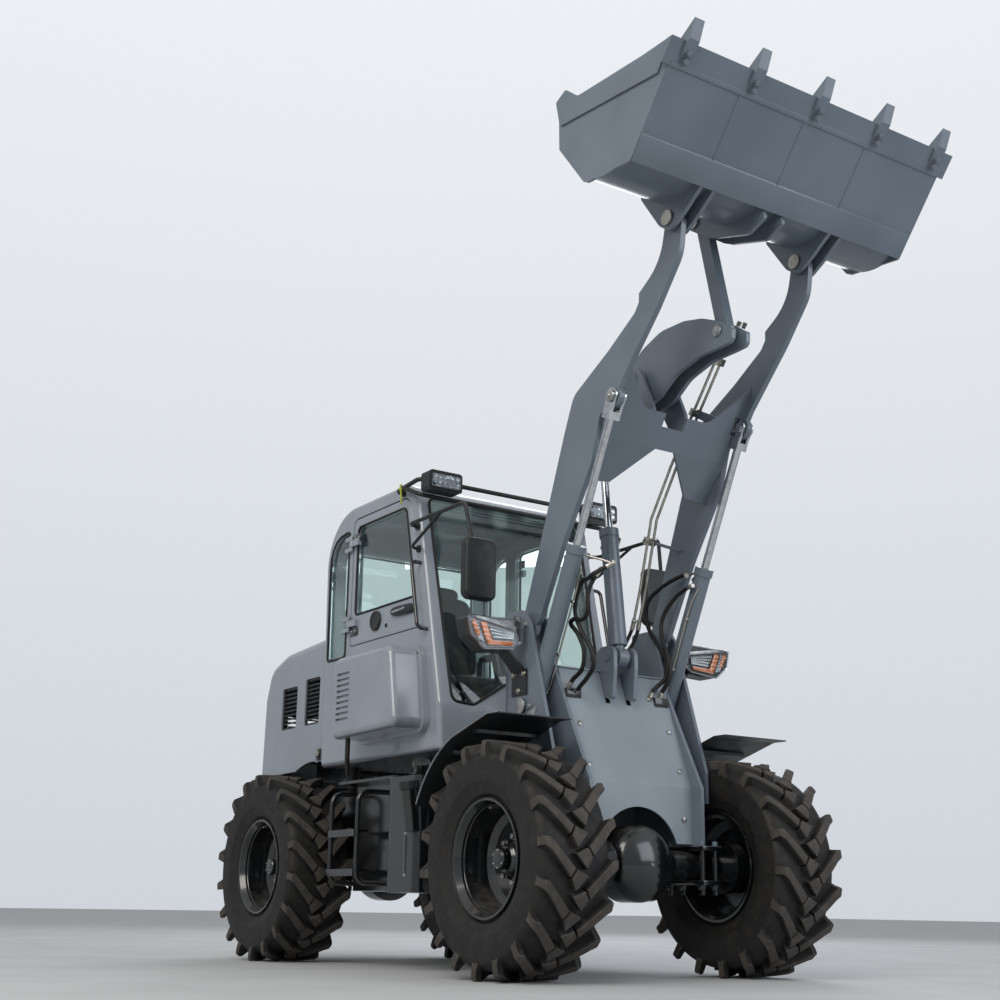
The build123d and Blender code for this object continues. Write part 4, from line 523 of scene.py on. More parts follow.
@dataclass(frozen=True)
class SprayedEnamel:
    """Two-pack enamel sprayed on steel: satin to gloss, with orange peel, dust on ledges and worn edges."""

    name: str
    base: str
    shade: str
    worn: str = "#7d7a74"
    roughness: float = 0.36
    coat: float = 0.25
    peel: float = 0.05
    dust: float = 0.25
    wear: float = 0.5
    soft: float = 2.5

    def make(self) -> bpy.types.Material:
        """Builds the material.

        Returns:
            The new material.
        """
        r = Recipe(self.name)
        # Broad cloudiness of a hand-held spray gun, about 400 mm wide
        body = r.mix(r.between(r.noise(400, 2), 0.35, 0.65), self.base, self.shade)
        dusty = r.maths("MULTIPLY", r.between(r.upward(), 0.35, 0.95), r.between(r.noise(60, 5), 0.35, 0.7))
        body = r.mix(r.maths("MULTIPLY", dusty, self.dust), body, "#a39a8a")
        # Paint rubbed off within 3 mm of an edge, in patches about 18 mm long
        worn = r.maths("MULTIPLY", r.edges(3.0), r.between(r.noise(18, 6, 0.7), 0.5, 0.62))
        body = r.mix(r.maths("MULTIPLY", worn, self.wear), body, self.worn)
        rough = r.between(r.noise(90, 4), 0.3, 0.7, self.roughness - 0.05, self.roughness + 0.07)
        r.feed(Base_Color=body, Roughness=r.maths("ADD", rough, dusty))
        r.set(IOR=1.5, Coat_Weight=self.coat, Coat_Roughness=0.12)
        # Orange peel of about 4 mm, which is as fine as shows
        r.bump(r.noise(4, 2), self.peel, self.soft)
        return r.made


@dataclass(frozen=True)
class Metal:
    """Bare or plated metal: turned, ground or zinc plated, with fine machining marks and smudges."""

    name: str
    base: str
    stain: str
    roughness: float
    marks: float = 3.0
    depth: float = 0.02

    def make(self) -> bpy.types.Material:
        """Builds the material.

        Returns:
            The new material.
        """
        r = Recipe(self.name)
        # Finger smudges about 35 mm wide
        body = r.mix(r.between(r.noise(35, 5), 0.45, 0.75), self.base, self.stain)
        rough = r.between(r.noise(22, 5), 0.3, 0.7, self.roughness * 0.75, self.roughness * 1.4)
        r.feed(Base_Color=body, Roughness=rough)
        r.set(Metallic=1.0)
        r.bump(r.noise(self.marks, 3), self.depth, 1.0)
        return r.made


@dataclass(frozen=True)
class CastSteel:
    """Black enamel over rough sand-cast iron: grainy skin about 6 mm wide under a glossy coat."""

    name: str
    base: str
    shade: str
    roughness: float = 0.45
    grain: float = 6.0
    depth: float = 0.35

    def make(self) -> bpy.types.Material:
        """Builds the material.

        Returns:
            The new material.
        """
        r = Recipe(self.name)
        body = r.mix(r.between(r.noise(120, 4), 0.35, 0.65), self.base, self.shade)
        body = r.mix(r.maths("MULTIPLY", r.between(r.upward(), 0.4, 1.0), 0.1), body, "#6d665b")
        rough = r.between(r.noise(30, 5), 0.3, 0.7, self.roughness - 0.08, self.roughness + 0.12)
        r.feed(Base_Color=body, Roughness=rough)
        r.set(IOR=1.5, Coat_Weight=0.6, Coat_Roughness=0.12)
        r.bump(r.noise(self.grain, 4), self.depth, 2.0)
        return r.made


@dataclass(frozen=True)
class Rubber:
    """Vulcanised rubber: deep grey-black, fine mould texture, with dried mud or bloom in it."""

    name: str
    base: str
    shade: str
    bloom: str
    bloom_share: float = 0.35
    roughness: float = 0.62
    grain: float = 2.5
    depth: float = 0.08

    def make(self) -> bpy.types.Material:
        """Builds the material.

        Returns:
            The new material.
        """
        r = Recipe(self.name)
        body = r.mix(r.between(r.noise(80, 5), 0.35, 0.65), self.base, self.shade)
        # Brownish bloom in patches about 45 mm wide
        patches = r.maths("MULTIPLY", r.between(r.noise(45, 6, 0.65), 0.5, 0.72), self.bloom_share)
        body = r.mix(patches, body, self.bloom)
        rough = r.between(r.noise(40, 4), 0.3, 0.7, self.roughness - 0.1, self.roughness + 0.1)
        r.feed(Base_Color=body, Roughness=rough)
        r.set(IOR=1.5, Specular_IOR_Level=0.4)
        r.bump(r.noise(self.grain, 3), self.depth, 2.0)
        return r.made


@dataclass(frozen=True)
class MouldedPlastic:
    """Injection-moulded plastic: even colour, leather-like spark-eroded grain, soft gloss."""

    name: str
    base: str
    shade: str
    roughness: float = 0.42
    grain: float = 1.6
    depth: float = 0.05

    def make(self) -> bpy.types.Material:
        """Builds the material.

        Returns:
            The new material.
        """
        r = Recipe(self.name)
        body = r.mix(r.between(r.noise(150, 3), 0.35, 0.65), self.base, self.shade)
        body = r.mix(r.maths("MULTIPLY", r.between(r.upward(), 0.5, 1.0), 0.25), body, "#7b7468")
        rough = r.between(r.noise(50, 4), 0.3, 0.7, self.roughness - 0.06, self.roughness + 0.08)
        r.feed(Base_Color=body, Roughness=rough)
        r.set(IOR=1.5)
        r.bump(r.noise(self.grain, 2), self.depth, 1.5)
        return r.made


@dataclass(frozen=True)
class Glass:
    """Toughened float glass: clear, tinted in the mass, with a faint film of dust and a slight wave."""

    name: str
    tint: str
    film: float = 0.04
    ior: float = 1.45

    def make(self) -> bpy.types.Material:
        """Builds the material.

        Returns:
            The new material.
        """
        r = Recipe(self.name)
        r.feed(Roughness=r.between(r.noise(120, 4), 0.45, 0.8, 0.0, self.film))
        r.set(Base_Color=colour(self.tint), Transmission_Weight=1.0, IOR=self.ior)
        r.bump(r.noise(700, 1), 0.15)
        return r.made


@dataclass(frozen=True)
class Upholstery:
    """Coated cloth over foam: black vinyl with a fine pebbled grain about 2 mm wide."""

    name: str
    base: str
    shade: str
    pebble: float = 2.4

    def make(self) -> bpy.types.Material:
        """Builds the material.

        Returns:
            The new material.
        """
        r = Recipe(self.name)
        body = r.mix(r.between(r.noise(60, 4), 0.4, 0.6), self.base, self.shade)
        values = {"Scale": per_mm(self.pebble)}
        cells = add_node(r.tree, "ShaderNodeTexVoronoi", values, {"Vector": r.place}).outputs[0]
        r.feed(Base_Color=body, Roughness=r.between(cells, 0.0, 1.0, 0.42, 0.6))
        r.set(IOR=1.5, Sheen_Weight=0.15)
        r.bump(cells, 0.12)
        return r.made


@dataclass(frozen=True)
class Lens:
    """Moulded clear or coloured lamp plastic with ribs 12 mm apart; its colour is paler along the ribs as a
    painted highlight of the light that they scatter.
    """

    name: str
    tint: str
    clear: float = 0.6
    rib: float = 12.0

    def make(self) -> bpy.types.Material:
        """Builds the material.

        Returns:
            The new material.
        """
        r = Recipe(self.name)
        values = {"Scale": per_mm(self.rib) / (2 * math.pi), "Distortion": 0.0}
        wave = add_node(r.tree, "ShaderNodeTexWave", values, {"Vector": r.place}, bands_direction="Z")
        ribs = wave.outputs[1]
        # Colour paled up to a quarter of the way to white along the ribs: a painted highlight, not the
        # plastic's own colour
        r.feed(Base_Color=r.mix(r.between(ribs, 0.2, 0.8, 0.0, 0.25), self.tint, "#ffffff"))
        r.set(Roughness=0.12, IOR=1.49, Transmission_Weight=self.clear, Coat_Weight=0.4, Coat_Roughness=0.03)
        r.bump(ribs, 0.3, 1.0)
        return r.made


class Finish(Enum):
    """Every finish of the machine, by what the real one is and how it was made."""

    SLATE = SprayedEnamel(
        "Satin enamel on steel plate, sprayed slate", "#6b7681", "#626d78", roughness=0.34, coat=0.35
    )
    COVER = SprayedEnamel(
        "Satin enamel on steel sheet, sprayed light grey", "#8a949c", "#818b93", roughness=0.36, coat=0.3
    )
    CAB = SprayedEnamel(
        "Gloss enamel on steel sheet, sprayed grey",
        "#939ba4",
        "#8b939c",
        roughness=0.2,
        coat=0.7,
        wear=0.15,
        dust=0.12,
    )
    BLACK = SprayedEnamel(
        "Gloss enamel on steel, sprayed black",
        "#0d0f11",
        "#131518",
        worn="#3a3835",
        roughness=0.18,
        coat=0.8,
        dust=0.1,
    )
    IRON = CastSteel(
        "Enamel on sand-cast iron, sprayed black", "#111315", "#181a1c", roughness=0.28, depth=0.2
    )
    CHROME = Metal("Hard chrome on steel, ground", "#c9cdd0", "#a9adb0", 0.12, depth=0.005)
    ZINC = Metal("Zinc plate on steel, passivated", "#bdbab0", "#98948a", 0.3)
    TYRE = Rubber("Natural rubber, vulcanised in a mould", "#191919", "#211f1e", "#463e37", 0.3)
    HOSE = Rubber(
        "Synthetic rubber hose cover, extruded", "#141414", "#1c1c1c", "#3b3733", 0.15, roughness=0.5
    )
    PLASTIC = MouldedPlastic("ABS plastic, moulded black", "#191b1d", "#202224")
    VINYL = Upholstery("Vinyl-coated cloth, embossed black", "#191a1c", "#222326")
    RED_LENS = Lens("Acrylic lens, moulded red", "#8f1710", 0.25)
    CLEAR = Glass("Polycarbonate lens, moulded clear", "#e6eaec", 0.02, 1.5)
    AMBER = Lens("Acrylic lens, moulded amber", "#d9731a", 0.2)
    TREAD = Rubber(
        "Natural rubber tread, scuffed by concrete",
        "#3d3935",
        "#49443f",
        "#665e55",
        0.5,
        roughness=0.75,
        grain=3.0,
        depth=0.12,
    )
    SEAL = Rubber("EPDM rubber seal, extruded", "#101112", "#17181a", "#33312e", 0.12, roughness=0.5)
    WORN = Metal("Bare steel, turned and handled", "#b9bab8", "#8b8882", 0.32)
    RUBBING = Metal("Steel edge, rubbed bright", "#a7a9aa", "#77797a", 0.4)
    MIRROR = Metal("Vacuum-coated aluminium, polished", "#dfe3e5", "#cfd3d6", 0.06, depth=0.0)
    TIE = MouldedPlastic("Nylon strap, woven yellow-green", "#b4c23a", "#9dab30", 0.6, 3.0, 0.3)
    TINTED = Glass("Toughened float glass, body tinted green", "#e2f0ec", 0.04)
    LED_FACE = MouldedPlastic("Polycarbonate reflector, moulded pale", "#cdd2d6", "#bcc2c7", 0.3)

    def material(self) -> bpy.types.Material:
        """The finish's one material, made on first use."""
        known = bpy.data.materials.get(self.value.name)
        return known or self.value.make()

    def dress(self, *pieces: Piece) -> None:
        """Gives pieces this finish in their only slot.

        Args:
            pieces: the pieces to dress.
        """
        for piece in pieces:
            piece.data.materials.clear()
            piece.data.materials.append(self.material())


SLOT_FINISH = {
    "slate_paint": Finish.SLATE,
    "light_grey_paint": Finish.COVER,
    "cab_paint": Finish.CAB,
    "black_paint": Finish.BLACK,
    "cast_iron": Finish.IRON,
    "chrome": Finish.CHROME,
    "zinc": Finish.ZINC,
    "tyre": Finish.TYRE,
    "rubber": Finish.HOSE,
    "black_plastic": Finish.PLASTIC,
    "vinyl": Finish.VINYL,
    "red_lens": Finish.RED_LENS,
    "clear_glass": Finish.CLEAR,
    "tinted_glass": Finish.TINTED,
}


def dress_nodes() -> None:
    """Every carried-over solid takes the finish of its slot in the record."""
    for piece in frame["record"]["subparts"]:
        node = frame["nodes"][piece["node"]]
        finish = SLOT_FINISH[piece["material_slot"]]
        for slot in node.material_slots:
            slot.material = finish.material()
        if not node.material_slots:
            node.data.materials.append(finish.material())
        LOG.info("%s is dressed in %s", piece["node"], finish.value.name)


def put(finish: Finish, body: str, *pieces: Piece) -> None:
    """Finishes pieces and makes them ride on a body.

    Args:
        finish: the pieces' finish.
        body: the body that carries them.
        pieces: the pieces.
    """
    finish.dress(*pieces)
    for piece in pieces:
        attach(piece, body)
        LOG.info("%s rides on %s", piece.name, body)


# ---- Small shapes that many pieces share


def at(x: float, y: float, z: float) -> tuple[float, float, float]:
    """Place in metres of a side-view figure in millimetres."""
    return (x / 1000 + SHIFT, y / 1000, z / 1000)


def bar(name: str, start: Point, end: Point, radius: float, sides: int = 20) -> Piece:
    """Round bar between two side-view places, its ends chamfered by about a tenth of its radius.

    Args:
        name: the piece's name.
        start: middle of one end.
        end: middle of the other.
        radius: the bar's radius in millimetres.
        sides: faces around it.

    Returns:
        The new object.
    """
    low, high = np.array(at(*start)), np.array(at(*end))
    length = float(np.linalg.norm(high - low))
    r = radius / 1000
    c = min(r * 0.12, length * 0.2)
    return turned(name, [(0, r - c), (c, r), (length - c, r), (length, r - c)], low, high - low, sides)


def bolt(name: str, centre: Point, axis: Point, across: float = 24, height: float = 12) -> Piece:
    """Hexagon head on a washer, seated into what it holds.

    Args:
        name: the piece's name.
        centre: side-view place of the washer's seat.
        axis: direction in which the head stands.
        across: width across the flats in millimetres.
        height: height of head and washer in millimetres.

    Returns:
        The new object.
    """
    r = across / 2000 / math.cos(math.pi / 6)
    h = height / 1000
    thin = h * 0.22
    washer = turned(name + "_w", [(-SEAT, r * 1.2), (thin, r * 1.2)], at(*centre), axis, 20)
    head = turned(name + "_h", [(thin - SEAT, r), (h * 0.85, r), (h, r * 0.82)], at(*centre), axis, 6)
    return joined(name, [washer, head])


def rounded(rows: Rows, steps: int = 5) -> np.ndarray:
    """Outline whose corners are rounded by quadratic curves, tangent where a circle would be.

    Args:
        rows: corners (u, v, radius).
        steps: points on each rounded corner.

    Returns:
        Array (count, 2) of points.
    """
    out = []
    count = len(rows)
    for i, (u, v, r) in enumerate(rows):
        here = np.array([u, v], float)
        back = np.array(rows[i - 1][:2], float) - here
        ahead = np.array(rows[(i + 1) % count][:2], float) - here
        back, ahead = back / np.linalg.norm(back), ahead / np.linalg.norm(ahead)
        half = math.acos(float(np.clip(back @ ahead, -1, 1))) / 2
        if r <= 0 or abs(half - math.pi / 2) < 1e-3:
            out.append(here)
            continue
        reach = r / math.tan(half)
        t = np.linspace(0, 1, steps)[:, None]
        a, b = here + back * reach, here + ahead * reach
        out.extend((1 - t) ** 2 * a + 2 * t * (1 - t) * here + t**2 * b)
    return np.array(out)


def side_place(y: float) -> Placer:
    """Places an outline (x, z) at one y."""
    return lambda p: np.array([at(u, y, v) for u, v in p])


def front_place(x: float) -> Placer:
    """Places an outline (y, z) at one x."""
    return lambda p: np.array([at(x, u, v) for u, v in p])


def loop(name: str, rows: Rows, place: Placer, radius: float) -> Piece:
    """Round bead around a rounded outline.

    Args:
        name: the piece's name.
        rows: corners (u, v, radius) of the outline.
        place: puts the outline's points into the frame.
        radius: the bead's radius in millimetres.

    Returns:
        The new object.
    """
    corners = rounded(rows, 6)
    path = []
    for i, point in enumerate(corners):
        after = corners[(i + 1) % len(corners)]
        pieces = max(1, int(np.linalg.norm(after - point) / 120))
        path.extend(point + (after - point) * k / pieces for k in range(pieces))
    return tube(name, place(np.array(path)), radius / 1000, 8, closed=True)


def plate(name: str, rows: Rows, low: Placer, high: Placer, bevel: float = 1.0) -> Piece:
    """Flat plate between two placings of one rounded outline, its edges broken.

    Args:
        name: the piece's name.
        rows: corners (u, v, radius) of the outline.
        low: places one face.
        high: places the other.
        bevel: width of the broken edges in millimetres.

    Returns:
        The new object.
    """
    outline = rounded(rows)
    count = len(outline)
    places = np.concatenate([low(outline), high(outline)])
    edge = np.arange(count)
    after = np.roll(edge, -1)
    walls = np.stack([edge, after, after + count, edge + count], -1)
    made = solid(name, places, [walls, edge[None, ::-1], (edge + count)[None]], smooth=False)
    step = outward(made).modifiers.new("edges", "BEVEL")
    step.width = bevel / 1000
    step.segments = 2
    step.limit_method = "ANGLE"
    step.angle_limit = math.radians(35)
    return made


def slab(name: str, low: Point, high: Point, bevel: float = 2.0) -> Piece:
    """Box between two side-view corners, its edges broken.

    Args:
        name: the piece's name.
        low: one corner.
        high: the opposite corner.
        bevel: width of the broken edges in millimetres.

    Returns:
        The new object.
    """
    rows = [(low[0], low[2], 0), (low[0], high[2], 0), (high[0], high[2], 0), (high[0], low[2], 0)]
    return plate(name, rows, side_place(low[1]), side_place(high[1]), bevel)


def weld(name: str, start: Point, end: Point, radius: float = 4.0) -> Piece:
    """Fillet weld along a straight run: a tube whose radius goes up and down with the ripples.

    Args:
        name: the piece's name.
        start: side-view place where it starts.
        end: side-view place where it ends.
        radius: the bead's radius in millimetres.

    Returns:
        The new object.
    """
    low, high = np.array(at(*start)), np.array(at(*end))
    count = max(8, int(np.linalg.norm(high - low) / 0.006))
    t = np.linspace(0, 1, count)[:, None]
    size = radius / 1000 * (1 + 0.16 * np.sin(np.arange(count) * 1.9))
    return tube(name, low + (high - low) * t, size, 6)


def signed_power(value: np.ndarray, power: float) -> np.ndarray:
    """Power of a number's size, with its sign kept."""
    return np.sign(value) * np.abs(value) ** power


def cushion(name: str, centre: Point, half: Point, crown: float, lean: float = 0.0, count: int = 36) -> Piece:
    """Crowned cushion: x = a c(u) c(v), y = b c(u) s(v), z = c s(u), with powers under one for square sides.

    Args:
        name: the piece's name.
        centre: side-view place of its middle.
        half: half its length, width and height in millimetres.
        crown: how much its faces swell in the middle, in millimetres.
        lean: turn about Y in degrees.
        count: rows from pole to pole.

    Returns:
        The new object.
    """
    u = np.linspace(-np.pi / 2 + 1e-4, np.pi / 2 - 1e-4, count)[:, None]
    v = np.linspace(0, 2 * np.pi, 2 * count, endpoint=False)[None]
    x = half[0] * signed_power(np.cos(u), 0.45) * signed_power(np.cos(v), 0.35)
    y = half[1] * signed_power(np.cos(u), 0.45) * signed_power(np.sin(v), 0.35)
    z = half[2] * signed_power(np.sin(u), 0.7) * np.ones_like(v)
    z = z + crown * np.maximum(0, 1 - (x / half[0]) ** 2) * np.maximum(0, 1 - (y / half[1]) ** 2) * np.sign(z)
    c, s = math.cos(math.radians(lean)), math.sin(math.radians(lean))
    x, z = x * c + z * s, z * c - x * s
    grid = np.stack([x + centre[0], y + centre[1], z + centre[2]], -1) / 1000
    grid[:, :, 0] += SHIFT
    return outward(surface(name, grid, close_v=True))


# ---- Wheels


@dataclass
class Tyre:
    """Radial traction tyre: a moulded carcass with two staggered rows of eighteen bent lugs."""

    node: str
    x: float
    side: Side
    start: float = 80.0
    lugs: int = 18
    # Radius in millimetres at which figures around the tyre are lengths
    rolling: float = 530.0
    # How far the second row of lugs is turned from the first
    stagger: float = 92.0
    # Section of the carcass, rows (across, radius), from the bead to the middle of the tread
    section: Rows = (
        (150, 259), (150, 279), (158, 288), (166, 292), (172, 305), (186, 335), (190, 344),
        (192.5, 347), (194, 352), (195, 375), (195.5, 415), (192, 448), (192, 457), (189, 464),
        (184, 472), (176, 480), (165, 488), (140, 494.5), (100, 497.5), (0, 499),
    )
    # Lug edges, rows (lead around, lead across, trail around, trail across, top radius, base across,
    # base radius)
    bar_rows: Rows = (
        (-128, -38, -165, -62, 537.6, -50, 492), (-95, -71, -137, -88, 537.6, -80, 492),
        (-62, -104, -110, -114, 537.6, -110, 491), (-30, -137, -82, -140, 537.6, -140, 490),
        (2, -170, -55, -165, 537.6, -165, 486), (3, -188, -38, -190, 537.4, -170, 484),
        (4, -196, -32, -196, 534, -172, 482), (6, -199.3, -30, -199.3, 518, -174, 480),
        (9, -198.6, -30, -198.6, 492, -178, 474), (16, -196, -33, -196, 468, -184, 462),
        (19, -190, -36, -190, 458, -186, 455),
    )
    block_rows: Rows = (
        (-133, -28, -171, -53, 537.6, -40, 494), (-142, -7, -188, -44, 537.6, -25, 494),
        (-151, 14, -205, -35, 537.6, -10, 494), (-160, 34, -222, -26, 537.6, 4, 494),
    )

    def build(self) -> None:
        """Makes the tyre in place of its plain solid."""
        self.points, self.quads, self.tops = [], [], []
        self.count = 0
        self.carcass()
        for index in range(self.lugs):
            first = self.start / self.rolling + index * 2 * math.pi / self.lugs
            for rows in (self.bar_rows, self.block_rows):
                self.lug(rows, first, 1)
                self.lug(rows, first + self.stagger / self.rolling, -1)
        quads = np.concatenate(self.quads)
        if self.side is Side.LEFT:
            quads = quads[:, ::-1]
        made = outward(solid(self.node + "_tread", np.concatenate(self.points), [quads]))
        made.data.materials.append(Finish.TYRE.material())
        made.data.materials.append(Finish.TREAD.material())
        made.data.polygons.foreach_set("material_index", np.concatenate(self.tops).astype(np.int32))
        made.data.shade_smooth()
        made.data.set_sharp_from_angle(angle=math.radians(34))
        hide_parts(self.node)
        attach(made, self.node.replace("tyre", "wheel"))

    def place(self, around: np.ndarray, across: np.ndarray, radius: np.ndarray) -> np.ndarray:
        """Places of points on the wheel: axle + radius (cos, sin), and the track less the distance across.

        Args:
            around: angles about the axle.
            across: distances from the middle plane in millimetres, negative outside.
            radius: distances from the axle in millimetres.

        Returns:
            Array of places in metres.
        """
        x = self.x / 1000 + SHIFT + radius / 1000 * np.cos(around)
        y = self.side.value * (HALF_TRACK - across) / 1000 + 0 * x
        return np.stack([x, y, AXLE_HEIGHT / 1000 + radius / 1000 * np.sin(around)], -1)

    def add(self, grid: np.ndarray, top: np.ndarray) -> None:
        """Adds a grid whose steps close on themselves.

        Args:
            grid: array (rows, steps, 3) of places.
            top: which finish each step has.
        """
        rows, cols = grid.shape[:2]
        index = np.arange(rows * cols).reshape(rows, cols) + self.count
        after = np.roll(index, -1, 1)
        self.quads.append(np.stack([index[:-1], after[:-1], after[1:], index[1:]], -1).reshape(-1, 4))
        self.tops.append(np.broadcast_to(top, (rows - 1, cols)).reshape(-1))
        self.points.append(grid.reshape(-1, 3))
        self.count += rows * cols

    def carcass(self) -> None:
        """Moulded carcass: its section turned about the axle, closed from bead to bead."""
        half = np.array(self.section, float)
        rows = np.concatenate([half * (-1, 1), half[-2::-1], half[:1] * (-1, 1)])
        turn = np.linspace(0, 2 * np.pi, 144, endpoint=False)[None]
        grid = self.place(turn, rows[:, 0, None] + 0 * turn, rows[:, 1, None] + 0 * turn)
        self.add(grid, np.zeros(turn.size))

    def lug(self, rows: Rows, first: float, flip: int) -> None:
        """One lug: a profile of base, shoulder and top lofted along its rows, its edges broken.

        Args:
            rows: the lug's edges.
            first: angle at which it starts.
            flip: -1 puts it in the other row.
        """
        sections = []
        data = np.array(rows, float)
        fine = np.linspace(0, len(data) - 1, (len(data) - 1) * 2 + 1)
        data = np.stack([np.interp(fine, np.arange(len(data)), data[:, k]) for k in range(7)], -1)
        for s0, y0, s1, y1, top, base_y, base_r in data:
            lead, trail = np.array([s0, y0]), np.array([s1, y1])
            ahead = (lead - trail) / np.linalg.norm(lead - trail)
            drop = y0 - base_y if base_r < 490 else 0.0
            profile = [
                (lead + ahead * 9, base_r, drop),
                (lead + ahead * 1.5, top - 5, 0),
                (lead - ahead * 2.5, top, 0),
                (trail + ahead * 2.5, top, 0),
                (trail - ahead * 1.5, top - 5, 0),
                (trail - ahead * 9, base_r, drop),
            ]
            sections.append([(p[0], (p[1] - d), r) for p, r, d in profile])
        grid = np.array(sections)
        middle = grid.mean(1, keepdims=True) + 0 * grid
        grid = np.concatenate([middle[:1], grid, middle[-1:]])
        points = self.place(first + grid[:, :, 0] / self.rolling, grid[:, :, 1] * flip, grid[:, :, 2])
        self.add(points, np.array([0, 1, 1, 1, 0, 0]))


@dataclass
class WheelTrim:
    """Flange ring, lock ring, nuts, hub cap and valve of one wheel."""

    name: str
    x: float
    side: Side
    nuts: int = 8
    nut_circle: float = 105.0
    screws: int = 6
    screw_circle: float = 40.0
    flange_rows: Rows = (
        (0.158, 0.2725), (0.1675, 0.2725), (0.1695, 0.269), (0.1675, 0.2625), (0.158, 0.2605),
    )
    lock_rows: Rows = ((0.118, 0.2445), (0.126, 0.2445), (0.128, 0.240), (0.124, 0.2365), (0.118, 0.236))
    cap_rows: Rows = (
        (0.068, 0.050), (0.072, 0.052), (0.088, 0.050), (0.094, 0.045), (0.096, 0.034), (0.0965, 0.012),
    )

    def place(self, inset: float, radius: float = 0.0, turn: float = 0.0) -> Point:
        """Side-view place on the wheel.

        Args:
            inset: distance outwards from the wheel's middle plane in millimetres.
            radius: distance from the axle in millimetres.
            turn: angle about the axle.

        Returns:
            The place.
        """
        return (
            self.x + radius * math.cos(turn),
            self.side.value * (HALF_TRACK + inset),
            AXLE_HEIGHT + radius * math.sin(turn),
        )

    def build(self) -> None:
        """Makes the trim."""
        body = "wheel_" + self.name
        out = (0, self.side.value, 0)
        centre = at(*self.place(0))
        flange = ring(self.name + "_flange", self.flange_rows, centre, out, 96)
        lock = ring(self.name + "_lock", self.lock_rows, centre, out, 96)
        cap = turned(self.name + "_cap", self.cap_rows, centre, out, 40)
        put(Finish.BLACK, body, flange, lock, cap)
        heads = []
        for i in range(self.nuts):
            spot = self.place(-2, self.nut_circle, 2 * math.pi * i / self.nuts)
            heads.append(bolt(f"{self.name}_nut{i}", spot, out, 26, 20))
        for i in range(self.screws):
            spot = self.place(92, self.screw_circle, 2 * math.pi * (i + 0.5) / self.screws)
            heads.append(bolt(f"{self.name}_screw{i}", spot, out, 9, 5))
        put(Finish.WORN, body, joined(self.name + "_nuts", heads))
        inner, outer = self.place(122), self.place(160)
        start = (self.x + 30, inner[1], inner[2] + 232)
        end = (self.x + 28, outer[1], outer[2] + 226)
        put(Finish.ZINC, body, bar(self.name + "_valve", start, end, 5, 12))


@dataclass
class Wheels:
    """Four tyres and their wheels' trim."""

    # Rows (axle, its place, where the tread pattern starts in millimetres around the tyre)
    axles: Sequence[tuple[str, float, float]] = (("front", 0.0, 80.0), ("rear", -2476.0, 131.0))

    def build(self) -> None:
        """Makes the wheels."""
        for axle, x, start in self.axles:
            for side in Side:
                Tyre(f"tyre_{axle}_{side.label}", x, side, start).build()
                WheelTrim(f"{axle}_{side.label}", x, side).build()


# ---- Hydraulic hoses and lines


@dataclass
class OilLines:
    """Twin steel lines above the boom's back edge, with their clamps, brackets and end fittings."""

    radius: float = 0.0078
    # Rows (name, place across, shift along)
    lines: Sequence[tuple[str, float, float]] = (("near", 233.0, 0.0), ("far", 267.0, 5.0))
    clamps: Sequence[tuple[int, int]] = ((444, 3090), (262, 2855), (-136, 2235))
    # Direction of the boom's back edge at the clamps, and the direction square to it, as (x, z)
    along: tuple[float, float] = (0.61, 0.79)
    across: tuple[float, float] = (0.79, -0.61)
    course: Rows = (
        (-262, 1800), (-246, 1850), (-202, 1977), (-99, 2350), (71, 2606), (236, 2826), (341, 2959),
        (439, 3086), (468, 3128), (534, 3149), (588, 3170), (605, 3207), (624, 3232),
    )
    nut_rows: Rows = (
        (-0.030, 0.0105), (-0.004, 0.0115), (0.0, 0.0125), (0.016, 0.0125), (0.018, 0.010),
    )

    def path(self, y: float, shift: float) -> np.ndarray:
        """Course of one line, with points added on long runs so that they stay straight.

        Args:
            y: place across the machine.
            shift: shift along the machine.

        Returns:
            Array of places in metres.
        """
        route = []
        for (x0, z0), (x1, z1) in zip(self.course[:-1], self.course[1:]):
            cuts = (0.0, 0.12, 0.5, 0.88) if math.hypot(x1 - x0, z1 - z0) > 120 else (0.0,)
            route += [at(x0 + shift + (x1 - x0) * t, y, z0 + (z1 - z0) * t) for t in cuts]
        route.append(at(self.course[-1][0] + shift, y, self.course[-1][1]))
        return smooth_path(route, 180)

    def build(self) -> None:
        """Makes the lines in place of the plain ones."""
        pieces = []
        for label, y, shift in self.lines:
            path = self.path(y, shift)
            pieces.append(tube(f"oil_line_{label}", path, self.radius, 14))
            for tip, inner in ((path[-1], path[-6]), (path[0], path[5])):
                name = f"oil_nut_{label}_{len(pieces)}"
                pieces.append(turned(name, self.nut_rows, tip, tip - inner, 6))
        ahead, front = np.array(self.along), np.array(self.across)
        for x, z in self.clamps:
            middle = np.array([x, z])
            corners = ((-20, -13), (-20, 15), (20, 15), (20, -13))
            rows = [(*(middle + a * ahead + b * front), 3) for a, b in corners]
            pieces.append(plate(f"oil_clamp_{x}", rows, side_place(213), side_place(287), 1.2))
            spot = (x + 15 * front[0], 250, z + 15 * front[1])
            pieces.append(bolt(f"oil_clamp_bolt_{x}", spot, (front[0], 0, front[1]), 14, 8))
        for piece in pieces:
            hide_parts("hard_lines")
        put(Finish.ZINC, "boom", *pieces)
        rows = [(398, 2745, 6), (418, 2790, 6), (275, 2872, 6), (248, 2838, 6)]
        arm = plate("oil_bracket_cross", rows, side_place(245), side_place(255), 1)
        stay = bar("oil_bracket_side", (-60, 397, 2190), (-128, 280, 2228), 9)
        put(Finish.SLATE, "boom", arm, stay)


